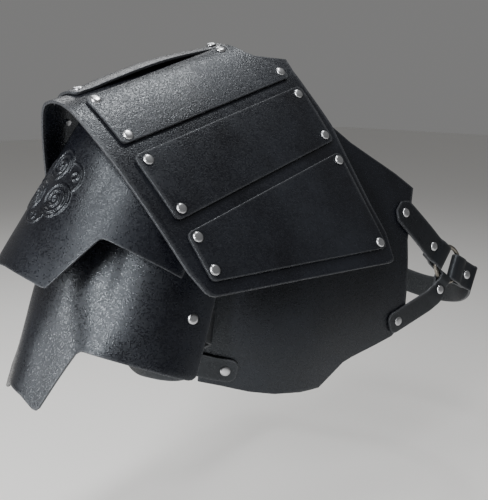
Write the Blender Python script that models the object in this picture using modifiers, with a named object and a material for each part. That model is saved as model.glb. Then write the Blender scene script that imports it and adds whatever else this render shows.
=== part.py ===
# Leather shoulder armour (pauldron) for the left shoulder, +X outward to the arm, +Y to the back, +Z up.
# The origin is on the underside of the shoulder shell at the middle of its ridge, where it rests.
import math

import bmesh
import bpy
from mathutils import Matrix, Vector

# Leather and the clearances between pieces, metres
LEATHER = 0.0024
GAP = 0.0003
WELD = 0.00001

# Ridge of the shell: it falls outward and is turned toward the back
RIDGE_SLOPE = math.radians(15.0)
RIDGE_TURN = math.radians(10.0)

# Shell pattern: length along the ridge, half width from its centre line, and where the ridge fold runs
SHELL_LENGTH = 0.230
SHELL_HALF_WIDTH = 0.282
RIDGE_OFFSET = 0.018
ARM_OVERHANG = 0.108

# Strips riveted on the shell
STRIP_LENGTH = 0.202
STRIP_SPACING = 0.012
STRIP_HEM = 0.01338
STRIP_INSET = 0.0165
STRIP_CORNER = 0.005
STRIP_SHARES = (0.352, 0.825, 1.0, 1.6)
STRIP_WIDTH = (SHELL_HALF_WIDTH - RIDGE_OFFSET - STRIP_HEM - 2.0 * STRIP_SPACING) / sum(STRIP_SHARES)
TOP_STRIP_LENGTH = 0.170
TOP_STRIP_WIDTH = 0.058
TOP_STRIP_LIFT = 0.004

# Rivets: cap over the leather, post through the hole, base under the leather
CAP_RADIUS = 0.0046
CAP_HEIGHT = 0.0022
POST_RADIUS = 0.0013
HOLE_RADIUS = 0.0019
BASE_RADIUS = 0.0024
BASE_HEIGHT = 0.0008
BASE_GAP = 0.0006
RIVET_SIDES = 7
HOLE_SIDES = 6

# Panels on the shoulder blade and on the chest
PANEL_WIDTH = 0.252
PANEL_HEIGHT = 0.280
PANEL_GAP = BASE_GAP + BASE_HEIGHT + GAP
PANEL_BEND_RADIUS = 0.190

# Upper arm plate: a cone that leans outward round the arm
UPPER = {
    "axis": (-0.0006, 0.0221, -0.090),
    "lean": math.radians(32.6),
    "turn": math.radians(-0.2),
    "radius": 0.0889,
    "front_radius": 0.034,
    "front_start": math.radians(-20.0),
    "flare": math.radians(2.2),
    "half_length": 0.138,
    "height": 0.142,
    "back_tuck": {"depth": 0.010, "height": 0.090, "start": 0.010, "full": 0.050},
    "front_tuck": {"depth": 0.017, "height": 0.110, "start": 0.030, "full": 0.060},
}

# Lower arm plate, nested inside the upper one
LOWER = {
    "axis": (0.0108, 0.0123, -0.180),
    "lean": math.radians(23.9),
    "turn": math.radians(7.4),
    "radius": 0.0997,
    "front_radius": 0.046,
    "front_start": math.radians(-33.0),
    "flare": math.radians(-2.5),
    "half_length": 0.174,
    "height": 0.165,
    "back_tuck": {"depth": 0.010, "height": 0.070, "start": 0.020, "full": 0.060},
    "front_tuck": {"depth": 0.028, "height": 0.110, "start": 0.045, "full": 0.085},
}

# Straps and rings
STRAP_WIDTH = 0.026
NARROW_STRAP_WIDTH = 0.020
STRAP_GAP = 0.0008
STRAP_CORNER = 0.0075
STRAP_STEP = 0.010
RING_RADIUS = 0.018
RING_WIRE = 0.0021
RING_STEPS = (20, 6)
LOOP_RUN = 2.4 * (RING_WIRE + GAP)
RING_PLACE = (-0.496 * PANEL_WIDTH, 0.527 * PANEL_HEIGHT)
RING_REACH = (0.032, 0.046)
CLOSING = CAP_RADIUS + 0.0010
TAIL = 2.0 * CLOSING - 0.0020
SEAM = 0.0007
CHEST_STRAIGHT = 0.042

# Drops at which the arm plates are creased level, to be pressed in at their tops
PLATE_CREASES = [0.020, 0.040, 0.060]

# Folds of the shell behind the ridge: share of the length from the ridge to the hem, degrees below level
BACK_FOLDS = [
    (0.027, 4.0),
    (0.027, 14.0),
    (0.027, 26.0),
    (0.027, 36.0),
    (0.041, 42.0),
    (0.055, 45.0),
    (0.068, 47.0),
    (0.068, 50.0),
    (0.085, 53.0),
    (0.102, 55.0),
    (0.473, 56.0),
]

# Folds of the shell in front of the ridge, with the same columns
FRONT_FOLDS = [
    (0.030, 9.0),
    (0.015, 28.0),
    (0.022, 46.0),
    (0.045, 60.0),
    (0.065, 66.0),
    (0.055, 70.0),
    (0.768, 72.0),
]

# Half outline of the shell: share of its length from the arm edge, share of the half width from the centre
SHELL_OUTLINE = [
    (0.000, 0.000),
    (0.000, 0.700),
    (0.014, 0.770),
    (0.024, 0.785),
    (0.040, 0.794),
    (0.820, 0.998),
    (0.836, 0.998),
    (0.846, 0.990),
    (0.890, 0.911),
    (0.909, 0.808),
    (0.985, 0.520),
    (0.988, 0.382),
    (0.997, 0.295),
    (1.012, 0.244),
    (0.940, 0.216),
    (0.881, 0.190),
    (0.845, 0.150),
    (0.836, 0.100),
    (0.846, 0.050),
    (0.850, 0.000),
]

# Folds of the panels below the shell: share of the panel height, degrees below level
PANEL_FOLDS = [
    (0.180, 66.0),
    (0.140, 70.0),
    (0.107, 75.0),
    (0.107, 80.0),
    (0.107, 85.0),
    (0.107, 91.0),
    (0.252, 97.0),
]


def clear_scene():
    for item in list(bpy.data.objects):
        bpy.data.objects.remove(item, do_unlink=True)


def make_collection(name):
    collection = bpy.data.collections.new(name)
    bpy.context.scene.collection.children.link(collection)
    return collection


def make_material(name, colour, roughness, metallic):
    material = bpy.data.materials.new(name)
    material.use_nodes = True
    shader = material.node_tree.nodes["Principled BSDF"]
    shader.inputs["Base Color"].default_value = (*colour, 1.0)
    shader.inputs["Roughness"].default_value = roughness
    shader.inputs["Metallic"].default_value = metallic
    return material


# A bent section line. Rows hold a length and a heading in degrees, and each station keeps its point and
# the mitred normal, so that sheets laid at any height over it stay parallel.
class Section:
    def __init__(self, ahead, behind=()):
        headings = [math.radians(row[1]) for row in behind][::-1] + [math.radians(row[1]) for row in ahead]
        lengths = [row[0] for row in behind][::-1] + [row[0] for row in ahead]
        start = sum(row[0] for row in behind)
        self.stations = [-start]
        for length in lengths:
            self.stations.append(self.stations[-1] + length)
        points = [Vector((0.0, 0.0))]
        for length, heading in zip(lengths, headings):
            points.append(points[-1] + length * Vector((math.cos(heading), math.sin(heading))))
        zero = points[len(behind)].copy()
        self.points = [point - zero for point in points]
        normals = [Vector((-math.sin(heading), math.cos(heading))) for heading in headings]
        self.headings = headings
        self.mitres = [normals[0]]
        for first, second in zip(normals, normals[1:]):
            self.mitres.append((first + second) / (1.0 + first.dot(second)))
        self.mitres.append(normals[-1])

    def segment(self, along):
        index = 0
        while index < len(self.headings) - 1 and along > self.stations[index + 1]:
            index += 1
        return index

    def place(self, along, height):
        index = self.segment(along)
        start, end = self.stations[index], self.stations[index + 1]
        share = (along - start) / (end - start)
        first = self.points[index] + height * self.mitres[index]
        second = self.points[index + 1] + height * self.mitres[index + 1]
        return first.lerp(second, share)

    def heading(self, along):
        return self.headings[self.segment(along)]


def corner_points(outline, radius, steps=2):
    # Rounds each corner of a closed outline with an arc of the given radius
    rounded = []
    count = len(outline)
    for index, corner in enumerate(outline):
        corner = Vector(corner)
        before = (Vector(outline[index - 1]) - corner).normalized()
        after = (Vector(outline[(index + 1) % count]) - corner).normalized()
        half = before.angle(after) / 2.0
        reach = radius / math.tan(half)
        centre = corner + (before + after).normalized() * radius / math.sin(half)
        first = corner + before * reach - centre
        second = corner + after * reach - centre
        for step in range(steps + 1):
            rounded.append(tuple(centre + radius * first.slerp(second, step / steps).normalized()))
    return rounded


def ring_points(centre, radius, sides):
    turns = [2.0 * math.pi * (index + 0.5) / sides for index in range(sides)]
    return [(centre[0] + radius * math.cos(turn), centre[1] + radius * math.sin(turn)) for turn in turns]


def flat_mesh(name, outline, holes, thickness):
    # A filled flat outline with its holes, as thick as the leather
    curve = bpy.data.curves.new(name, "CURVE")
    curve.dimensions = "2D"
    curve.fill_mode = "BOTH"
    curve.extrude = thickness / 2.0
    for ring in [outline] + [ring_points(hole, HOLE_RADIUS, HOLE_SIDES) for hole in holes]:
        spline = curve.splines.new("POLY")
        spline.points.add(len(ring) - 1)
        for point, place in zip(spline.points, ring):
            point.co = (place[0], place[1], 0.0, 1.0)
        spline.use_cyclic_u = True
    holder = bpy.data.objects.new(name, curve)
    bpy.context.scene.collection.objects.link(holder)
    graph = bpy.context.evaluated_depsgraph_get()
    mesh = bpy.data.meshes.new_from_object(holder.evaluated_get(graph))
    bpy.data.objects.remove(holder, do_unlink=True)
    bpy.data.curves.remove(curve)
    return mesh


def bent_sheet(name, outline, holes, place, material, collection, along=(), across=(), thickness=LEATHER):
    # Cuts the flat leather along its fold lines and bends it with place(x, y, height)
    mesh = flat_mesh(name, outline, holes, thickness)
    work = bmesh.new()
    work.from_mesh(mesh)
    bmesh.ops.remove_doubles(work, verts=work.verts, dist=WELD)
    bmesh.ops.dissolve_limit(work, angle_limit=math.radians(0.5), verts=work.verts, edges=work.edges)
    cuts = [((x, 0.0, 0.0), (1.0, 0.0, 0.0)) for x in along] + [((0.0, y, 0.0), (0.0, 1.0, 0.0)) for y in across]
    for centre, normal in cuts:
        geometry = work.verts[:] + work.edges[:] + work.faces[:]
        bmesh.ops.bisect_plane(work, geom=geometry, dist=WELD, plane_co=centre, plane_no=normal)
    bmesh.ops.triangulate(work, faces=work.faces[:], ngon_method="EAR_CLIP")
    bmesh.ops.remove_doubles(work, verts=work.verts, dist=WELD)
    for vertex in work.verts:
        vertex.co = place(vertex.co.x, vertex.co.y, vertex.co.z + thickness / 2.0)
    bmesh.ops.recalc_face_normals(work, faces=work.faces[:])
    if work.calc_volume(signed=True) < 0.0:
        bmesh.ops.reverse_faces(work, faces=work.faces[:])
    work.to_mesh(mesh)
    work.free()
    mesh.shade_smooth()
    mesh.set_sharp_from_angle(angle=math.radians(35.0))
    mesh.materials.clear()
    mesh.materials.append(material)
    sheet = bpy.data.objects.new(name, mesh)
    collection.objects.link(sheet)
    return sheet


# Directions of the ridge, of the level line across it, and of their common normal
RIDGE = Vector((
    math.cos(RIDGE_SLOPE) * math.cos(RIDGE_TURN),
    math.cos(RIDGE_SLOPE) * math.sin(RIDGE_TURN),
    -math.sin(RIDGE_SLOPE),
))
ACROSS = Vector((-math.sin(RIDGE_TURN), math.cos(RIDGE_TURN), 0.0))
OVER = RIDGE.cross(ACROSS)
UP = Vector((0.0, 0.0, 1.0))
BACK = Vector((0.0, 1.0, 0.0))

BACK_LENGTH = SHELL_HALF_WIDTH - RIDGE_OFFSET
FRONT_LENGTH = SHELL_HALF_WIDTH + RIDGE_OFFSET
SHELL_SECTION = Section(
    [(share * BACK_LENGTH, -angle) for share, angle in BACK_FOLDS],
    [(share * FRONT_LENGTH, angle) for share, angle in FRONT_FOLDS],
)


def shell_place(inward, arc, height):
    # inward is measured from the arm edge, arc from the ridge fold to the back, height from the outer face
    flat = SHELL_SECTION.place(arc, height)
    return (ARM_OVERHANG - inward) * RIDGE + flat.x * ACROSS + (LEATHER + flat.y) * OVER


def shell_frame(inward, arc, height):
    # Point on the shell with the outward direction of its facet
    heading = SHELL_SECTION.heading(arc)
    return shell_place(inward, arc, height), -math.sin(heading) * ACROSS + math.cos(heading) * OVER


def mirrored_arc(arc):
    # The same distance on the other side of the pattern's centre line
    return -2.0 * RIDGE_OFFSET - arc


def shell_cuts():
    return SHELL_SECTION.stations[1:-1]


def build_shell(material, collection, holes):
    half = [(along * SHELL_LENGTH, share * SHELL_HALF_WIDTH - RIDGE_OFFSET) for along, share in SHELL_OUTLINE]
    other = [(along, mirrored_arc(arc)) for along, arc in half[1:-1]]
    outline = half + other[::-1]

    def place(x, y, height):
        return shell_place(x, y, height - LEATHER)

    return bent_sheet("shell", outline, holes, place, material, collection, (), shell_cuts())


def strip_rows():
    # Corner points of the back strips, with the rivet places, in the shell's pattern
    lead, first, second, third = [share * STRIP_WIDTH for share in STRIP_SHARES]
    starts = [lead, lead + first + STRIP_SPACING, lead + first + second + 2.0 * STRIP_SPACING]
    left = STRIP_INSET
    return [
        {
            "corners": [
                (left, starts[0]),
                (left + 0.845 * STRIP_LENGTH, starts[0] - 0.153 * STRIP_WIDTH),
                (left + 0.880 * STRIP_LENGTH, starts[0] + 0.20 * STRIP_WIDTH),
                (left + 0.975 * STRIP_LENGTH, starts[0] + 0.57 * STRIP_WIDTH),
                (left + 0.998 * STRIP_LENGTH, starts[0] + first),
                (left, starts[0] + first),
            ],
            "rivets": [(0.034, 0.070), (0.040, 0.725), (0.780, -0.060), (0.965, 0.685)],
            "start": starts[0],
        },
        {
            "corners": [
                (left, starts[1]),
                (left + 1.005 * STRIP_LENGTH, starts[1]),
                (left + 0.977 * STRIP_LENGTH, starts[1] + second),
                (left, starts[1] + second),
            ],
            "rivets": [(0.045, 0.120), (0.042, 0.880), (0.962, 0.110), (0.945, 0.870)],
            "start": starts[1],
        },
        {
            "corners": [
                (left, starts[2]),
                (left + 0.965 * STRIP_LENGTH, starts[2]),
                (left + 0.872 * STRIP_LENGTH, starts[2] + third),
                (left - 0.020 * STRIP_LENGTH, starts[2] + 0.68 * STRIP_WIDTH),
            ],
            "rivets": [(0.032, 0.100), (0.013, 0.570), (0.928, 0.110), (0.848, 1.480)],
            "start": starts[2],
        },
    ]


def build_strips(material, collection):
    # Six side strips and the top strip; gives back every rivet place on the shell
    places = []
    for index, row in enumerate(strip_rows(), start=1):
        for side in ("back", "front"):
            turn = (lambda arc: arc) if side == "back" else mirrored_arc
            corners = [(inward, turn(arc)) for inward, arc in row["corners"]]
            outline = corner_points(corners, STRIP_CORNER)
            holes = [
                (STRIP_INSET + x * STRIP_LENGTH, turn(row["start"] + y * STRIP_WIDTH)) for x, y in row["rivets"]
            ]
            name = f"strip_{side}_{index}"

            def place(x, y, height):
                return shell_place(x, y, GAP + height)

            bent_sheet(name, outline, holes, place, material, collection, (), shell_cuts())
            places += [(f"{name}_{number}", hole) for number, hole in enumerate(holes, start=1)]

    low, high = STRIP_INSET, STRIP_INSET + TOP_STRIP_LENGTH
    near = -RIDGE_OFFSET + TOP_STRIP_WIDTH / 2.0
    far = -RIDGE_OFFSET - TOP_STRIP_WIDTH / 2.0
    outline = corner_points([(low, far), (high, far), (high, near), (low, near)], STRIP_CORNER)
    inset = 0.14 * TOP_STRIP_WIDTH
    holes = [(x, y) for x in (low + inset, high - inset) for y in (far + inset, near - inset)]

    def top_place(x, y, height):
        share = min(max((x - low - 2.0 * inset) / (TOP_STRIP_LENGTH - 4.0 * inset), 0.0), 1.0)
        return shell_place(x, y, GAP + height + TOP_STRIP_LIFT * math.sin(math.pi * share))

    cuts = [low + share * TOP_STRIP_LENGTH for share in (0.1, 0.22, 0.36, 0.5, 0.64, 0.78, 0.9)]
    bent_sheet("strip_top", outline, holes, top_place, material, collection, cuts, shell_cuts())
    places += [(f"strip_top_{number}", hole) for number, hole in enumerate(holes, start=1)]
    return places


def rivet_mesh(name, grip, material):
    # Profile of a rivet from the top of its cap to the bottom of its base, at the outer face of the leather
    profile = [
        (0.0, CAP_HEIGHT),
        (0.62 * CAP_RADIUS, 0.80 * CAP_HEIGHT),
        (CAP_RADIUS, 0.30 * CAP_HEIGHT),
        (CAP_RADIUS, GAP),
        (POST_RADIUS, GAP),
        (POST_RADIUS, -grip - BASE_GAP),
        (BASE_RADIUS, -grip - BASE_GAP),
        (BASE_RADIUS, -grip - BASE_GAP - BASE_HEIGHT),
        (0.0, -grip - BASE_GAP - BASE_HEIGHT),
    ]
    mesh = bpy.data.meshes.new(name)
    edges = [(index, index + 1) for index in range(len(profile) - 1)]
    mesh.from_pydata([(x, 0.0, z) for x, z in profile], edges, [])
    mesh.materials.append(material)
    return mesh


def add_rivet(name, mesh, spot, normal, collection):
    rivet = bpy.data.objects.new(name, mesh)
    screw = rivet.modifiers.new("turned", "SCREW")
    screw.steps = RIVET_SIDES
    screw.render_steps = RIVET_SIDES
    screw.use_merge_vertices = True
    screw.merge_threshold = WELD
    screw.use_smooth_shade = True
    rivet.matrix_world = Matrix.Translation(spot) @ normal.to_track_quat("Z", "Y").to_matrix().to_4x4()
    collection.objects.link(rivet)
    return rivet


# The panels lie under the shell's walls and bend round the body
class Panel:
    def __init__(self, side):
        self.sign = 1.0 if side == "back" else -1.0
        arc = 0.485 * BACK_LENGTH if side == "back" else -0.300 * FRONT_LENGTH
        inward = 0.978 * SHELL_LENGTH
        spot, normal = shell_frame(inward, arc, -LEATHER)
        self.start = spot - PANEL_GAP * normal
        self.level = normal.cross(UP).normalized()
        if self.level.x < 0.0:
            self.level = -self.level
        self.away = UP.cross(self.level)
        if self.away.y * self.sign < 0.0:
            self.away = -self.away
        self.slope = math.degrees(math.acos(normal.dot(UP)))
        top = 0.16 * PANEL_HEIGHT
        rows = [(share * PANEL_HEIGHT, -max(angle, self.slope)) for share, angle in PANEL_FOLDS]
        self.section = Section(rows, [(top, -self.slope)])
        self.bend_start = 0.16 * PANEL_WIDTH

    def place(self, outward, drop, height):
        # outward runs along the body toward the arm, drop down it, height out from its outer face
        base = self.section.place(drop, 0.0)
        offset = self.section.place(drop, height) - base
        turn = max(outward - self.bend_start, 0.0) / PANEL_BEND_RADIUS
        along = min(outward, self.bend_start) + PANEL_BEND_RADIUS * math.sin(turn)
        inward = PANEL_BEND_RADIUS * (1.0 - math.cos(turn))
        spot = self.start + along * self.level + (base.x - inward) * self.away + base.y * UP
        bent = math.sin(turn) * self.level + math.cos(turn) * self.away
        return spot + offset.x * bent + offset.y * UP

    def frame(self, outward, drop, height):
        spot = self.place(outward, drop, height)
        side = self.place(outward + 0.001, drop, height) - spot
        down = self.place(outward, drop + 0.0005, height) - self.place(outward, drop - 0.0005, height)
        normal = side.cross(down).normalized()
        return spot, normal if normal.dot(self.away) > 0.0 else -normal


# Panel outline: share of the width toward the arm, share of the height down, from the corner at the shell
PANEL_OUTLINE = [
    (-0.012, -0.010),
    (-0.090, 0.060),
    (-0.175, 0.115),
    (-0.283, 0.183),
    (-0.361, 0.240),
    (-0.337, 0.285),
    (-0.278, 0.418),
    (-0.246, 0.614),
    (-0.234, 0.700),
    (-0.175, 0.743),
    (-0.079, 0.763),
    (0.028, 0.782),
    (0.071, 0.793),
    (0.183, 0.860),
    (0.254, 0.861),
    (0.365, 0.850),
    (0.460, 0.832),
    (0.563, 0.805),
    (0.643, 0.789),
    (0.636, 0.680),
    (0.600, 0.530),
    (0.500, 0.350),
    (0.360, 0.180),
    (0.240, 0.000),
    (0.190, -0.070),
    (0.010, -0.070),
]


def build_panel(panel, side, material, collection, holes):
    outline = [(x * PANEL_WIDTH, y * PANEL_HEIGHT) for x, y in PANEL_OUTLINE]

    def place(x, y, height):
        return panel.place(x, y, height - LEATHER)

    bends = [panel.bend_start + share * PANEL_WIDTH for share in (0.0, 0.12, 0.24, 0.36)]
    drops = panel.section.stations[1:-1]
    bent_sheet(f"{side}_panel", outline, holes, place, material, collection, bends, drops)


# An arm plate: section round the arm, carried down the leaning axis
class ArmPlate:
    def __init__(self, sizes):
        self.sizes = sizes
        lean, turn = sizes["lean"], sizes["turn"]
        level = Vector((math.cos(turn), math.sin(turn), 0.0))
        self.down = math.sin(lean) * level - math.cos(lean) * UP
        self.out = math.cos(lean) * level + math.sin(lean) * UP
        self.side = Vector((-math.sin(turn), math.cos(turn), 0.0))
        step = math.radians(11.0)
        radius, front = sizes["radius"], sizes["front_radius"]
        chord = 2.0 * math.tan(step / 2.0)
        back_rows = [(radius * chord, 90.0 + math.degrees(step * (index + 0.5))) for index in range(13)]
        front_rows = []
        heading = 0.0
        while heading < math.radians(165.0):
            size = radius if -heading > sizes["front_start"] else front
            front_rows.append((size * chord, 90.0 - math.degrees(heading + step / 2.0)))
            heading += step
        self.section = Section(back_rows, front_rows)
        self.axis = Vector(sizes["axis"])

    def place(self, around, drop, height):
        # around runs from the front-to-back middle of the plate, drop down its axis, height out from its face
        flat = self.section.place(around, -height)
        radius = self.sizes["radius"]
        scale = 1.0 + (math.tan(self.sizes["flare"]) * drop - self.tuck(around, drop)) / radius
        return self.axis + drop * self.down + scale * ((radius + flat.x) * self.out + flat.y * self.side)

    def tuck(self, around, drop):
        # How far the top of the plate is pressed in at its front and back, to pass under its neighbour
        deepest = 0.0
        for key, distance in (("back_tuck", around), ("front_tuck", -around)):
            tuck = self.sizes[key]
            share = min(max((distance - tuck["start"]) / (tuck["full"] - tuck["start"]), 0.0), 1.0)
            deepest = max(deepest, tuck["depth"] * share * (1.0 - drop / tuck["height"]))
        return deepest

    def frame(self, around, drop, height):
        spot = self.place(around, drop, height)
        side = self.place(around + 0.001, drop, height) - self.place(around - 0.001, drop, height)
        down = self.place(around, drop + 0.001, height) - spot
        normal = down.cross(side).normalized()
        outward = spot - self.axis
        return spot, normal if normal.dot(outward - outward.dot(self.down) * self.down) > 0.0 else -normal


# Outlines of the arm plates: share of the half length from the plate's middle, share of the height down
UPPER_OUTLINE = [
    (0.000, 0.930),
    (0.240, 0.938),
    (0.345, 0.941),
    (0.368, 0.935),
    (0.500, 0.588),
    (0.517, 0.577),
    (0.545, 0.573),
    (1.000, 0.573),
    (1.000, 0.330),
    (0.860, 0.330),
    (0.700, 0.300),
    (0.570, 0.220),
    (0.430, 0.100),
    (0.290, 0.010),
    (0.140, -0.050),
    (0.000, -0.060),
]
UPPER_FRONT = [
    (-0.140, -0.050),
    (-0.290, 0.120),
    (-0.360, 0.200),
    (-0.600, 0.420),
    (-0.740, 0.573),
]
LOWER_OUTLINE = [
    (0.000, 0.735),
    (0.130, 0.755),
    (0.235, 0.790),
    (0.262, 0.790),
    (0.280, 0.772),
    (0.400, 0.475),
    (0.420, 0.456),
    (0.440, 0.452),
    (0.980, 0.446),
    (0.995, 0.425),
    (1.000, 0.380),
    (1.000, -0.060),
    (0.600, -0.140),
    (0.300, -0.150),
    (0.000, -0.150),
]
LOWER_FRONT = [
    (-0.560, 0.450),
    (-0.580, 0.430),
    (-0.580, 0.180),
    (-0.440, 0.120),
    (-0.280, 0.030),
    (-0.120, -0.130),
]
LOWER_CENTRE = -0.024


def outline_of(rows, sizes, centre=0.0):
    return [(centre + x * sizes["half_length"], y * sizes["height"]) for x, y in rows]


def build_upper_lame(upper, material, collection):
    back = outline_of(UPPER_OUTLINE, UPPER)
    lobe = outline_of([(-x, y) for x, y in UPPER_OUTLINE[1:7]], UPPER)
    front = outline_of(UPPER_FRONT, UPPER)
    outline = back + front + lobe[::-1]

    def place(x, y, height):
        return upper.place(x, y, height - LEATHER)

    bends = upper.section.stations[1:-1]
    bent_sheet("upper_lame", outline, (), place, material, collection, bends, PLATE_CREASES)


def build_lower_lame(lower, material, collection, holes):
    back = outline_of(LOWER_OUTLINE, LOWER, LOWER_CENTRE)
    lobe = outline_of([(-x, y) for x, y in LOWER_OUTLINE[1:8]], LOWER, LOWER_CENTRE)
    front = outline_of(LOWER_FRONT, LOWER, LOWER_CENTRE)
    outline = back + front[::-1] + lobe[::-1]

    def place(x, y, height):
        return lower.place(x, y, height - LEATHER)

    bends = lower.section.stations[1:-1]
    bent_sheet("lower_lame", outline, holes, place, material, collection, bends, PLATE_CREASES)


# Where a ring lies: a flat frame at its centre, on the level of the panel
class RingPlace:
    def __init__(self, panel):
        self.panel = panel
        self.height = STRAP_GAP - GAP / 2.0
        spot, normal = panel.frame(*RING_PLACE, self.height)
        self.centre = spot
        self.normal = normal
        self.level = panel.level
        self.down = self.level.cross(normal).normalized()
        if self.down.z > 0.0:
            self.down = -self.down

    def place(self, outward, drop, height):
        # The panel's own surface far from the ring, the ring's flat plane near it
        x, y = outward - RING_PLACE[0], drop - RING_PLACE[1]
        flat = self.centre + x * self.level + y * self.down + (height - self.height) * self.normal
        near, far = RING_REACH
        share = min(max((math.hypot(x, y) - near) / (far - near), 0.0), 1.0)
        return flat.lerp(self.panel.place(outward, drop, height), share)


def loop_spread(half_width):
    # Room that the ring's curve takes inside a straight loop of this half width
    turn = math.asin(half_width / RING_RADIUS)
    return RING_RADIUS * (1.0 - math.cos(turn)) + RING_WIRE * (1.0 / math.cos(turn) - 1.0) + 2.0 * GAP


def loop_section(reach, half_width):
    # Inner face of a strap: straight for reach, up over the wire, round it, and back under itself
    bend = RING_WIRE + GAP
    corner = bend * math.tan(math.radians(22.5))
    climb = bend - GAP / 2.0
    slope = math.degrees(math.atan2(climb, 2.0 * bend))
    level = LOOP_RUN - 2.0 * bend + loop_spread(half_width) + corner
    rows = [
        (reach - SEAM, 0.0),
        (SEAM, 0.0),
        (math.hypot(climb, 2.0 * bend), slope),
        (level, 0.0),
        (2.0 * corner, -45.0),
        (2.0 * corner, -90.0),
        (2.0 * corner, -135.0),
        (level, -180.0),
        (math.hypot(climb, 2.0 * bend), -180.0 - slope),
        (SEAM, -180.0),
        (TAIL - SEAM, -180.0),
    ]
    return Section(rows)


def rivet_seat(place, along):
    # Spot on a strap's outer face with the outward direction of its facet
    step = 0.0004
    spot = place(along, 0.0, LEATHER)
    ahead = place(along + step, 0.0, LEATHER) - place(along - step, 0.0, LEATHER)
    side = place(along, step, LEATHER) - place(along, -step, LEATHER)
    normal = ahead.cross(side).normalized()
    rough = spot - place(along, 0.0, 0.0)
    return spot, normal if normal.dot(rough) > 0.0 else -normal


def strap_outline(length, start_half, end_half, corner, clipped, taper):
    # A strap with a clipped or rounded start, that may grow narrower at its end
    steps = 1 if clipped else 3
    rounded = []
    for index in range(steps + 1):
        turn = math.pi / 2.0 * index / steps
        rounded.append((corner * (1.0 - math.sin(turn)), start_half - corner * (1.0 - math.cos(turn))))
    side = rounded[::-1] + [(taper[0], start_half), (taper[1], end_half), (length, end_half)]
    return side + [(x, -y) for x, y in side[::-1]]


# Straps from a panel to its ring: start and bend in the panel's measures, direction at the ring in degrees
RING_STRAPS = [
    {
        "name": "upper",
        "start": (-0.254 * PANEL_WIDTH, 0.2965 * PANEL_HEIGHT),
        "heading": 136.0,
        "half_width": STRAP_WIDTH / 2.0,
        "loop_half_width": STRAP_WIDTH / 2.0,
        "first_rivet": 0.0100,
        "clipped": True,
    },
    {
        "name": "lower",
        "start": (-0.151 * PANEL_WIDTH, 0.700 * PANEL_HEIGHT),
        "heading": 233.0,
        "half_width": NARROW_STRAP_WIDTH / 2.0,
        "loop_half_width": 0.0065,
        "first_rivet": 0.0115,
        "clipped": False,
    },
]


def build_ring_strap(row, side, ring, material, collection):
    # Gives back the strap's rivet at the panel and, on the back, the one that closes its loop
    heading = math.radians(row["heading"])
    ahead = Vector((math.cos(heading), math.sin(heading)))
    entry = Vector(RING_PLACE) - (RING_RADIUS + LOOP_RUN + 1.5 * TAIL) * ahead
    start = Vector(row["start"])
    lead = entry - start
    route = Section([
        (lead.length, math.degrees(math.atan2(lead.y, lead.x))),
        (0.45 * TAIL, row["heading"]),
        (TAIL + 3.0 * RING_RADIUS, row["heading"]),
    ])
    reach = lead.length + 1.5 * TAIL
    section = loop_section(reach, row["loop_half_width"])
    length = section.stations[-1]
    taper = (lead.length, reach)
    outline = strap_outline(
        length, row["half_width"], row["loop_half_width"], STRAP_CORNER, row["clipped"], taper
    )
    holes = [(row["first_rivet"], 0.0)]
    if side == "back":
        holes += [(reach - CLOSING, 0.0), (length - TAIL + CLOSING, 0.0)]

    def place(x, y, height):
        bent = section.place(x, height)
        spot = start + route.place(bent.x, y)
        return ring.place(spot.x, spot.y, STRAP_GAP + bent.y)

    cuts = [STRAP_STEP * step for step in range(1, int(reach / STRAP_STEP))]
    cuts += route.stations[1:-1] + section.stations[1:-1]
    name = f"ring_strap_{side}_{row['name']}"
    bent_sheet(name, outline, holes, place, material, collection, cuts, (0.0,))
    rivets = []
    for label, hole in zip(("panel", "loop"), holes):
        rivets.append((f"rivet_{name}_{label}", *rivet_seat(place, hole[0])))
    return rivets


def pattern_place(sheet, spot, along, drop):
    # Place of a point of a sheet's outer face in its flat pattern, found by a few even steps from a guess
    for step in range(40):
        miss = spot - sheet.place(along, drop, 0.0)
        side = sheet.place(along + 0.001, drop, 0.0) - sheet.place(along, drop, 0.0)
        down = sheet.place(along, drop + 0.001, 0.0) - sheet.place(along, drop, 0.0)
        along += miss.dot(side.normalized())
        drop += miss.dot(down.normalized())
    return along, drop


def build_ring(side, ring, material, collection):
    bpy.ops.mesh.primitive_torus_add(
        major_radius=RING_RADIUS,
        minor_radius=RING_WIRE,
        major_segments=RING_STEPS[0],
        minor_segments=RING_STEPS[1],
        location=ring.centre,
        rotation=ring.normal.to_track_quat("Z", "Y").to_euler(),
    )
    torus = bpy.context.object
    torus.name = f"ring_{side}"
    torus.data.name = torus.name
    torus.data.shade_smooth()
    torus.data.materials.append(material)
    for holder in list(torus.users_collection):
        holder.objects.unlink(torus)
    collection.objects.link(torus)


# A band carried along points in space, with the outward direction given at each point
class Band:
    def __init__(self, points, outward):
        self.points = points
        runs = [(second - first) for first, second in zip(points, points[1:])]
        self.stations = [0.0]
        for run in runs:
            self.stations.append(self.stations[-1] + run.length)
        ways = [run.normalized() for run in runs]
        joints = [ways[0]] + [(a + b).normalized() for a, b in zip(ways, ways[1:])] + [ways[-1]]
        self.sides = []
        self.mitres = []
        for index, (joint, out) in enumerate(zip(joints, outward)):
            side = out.cross(joint).normalized()
            reach = max(joint.dot(ways[min(index, len(ways) - 1)]), 0.5)
            self.sides.append(side)
            self.mitres.append(joint.cross(side).normalized() / reach)

    def place(self, along, across, height):
        index = 0
        while index < len(self.points) - 2 and along > self.stations[index + 1]:
            index += 1
        share = (along - self.stations[index]) / (self.stations[index + 1] - self.stations[index])
        corners = [
            self.points[i] + across * self.sides[i] + height * self.mitres[i] for i in (index, index + 1)
        ]
        return corners[0].lerp(corners[1], share)


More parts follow.
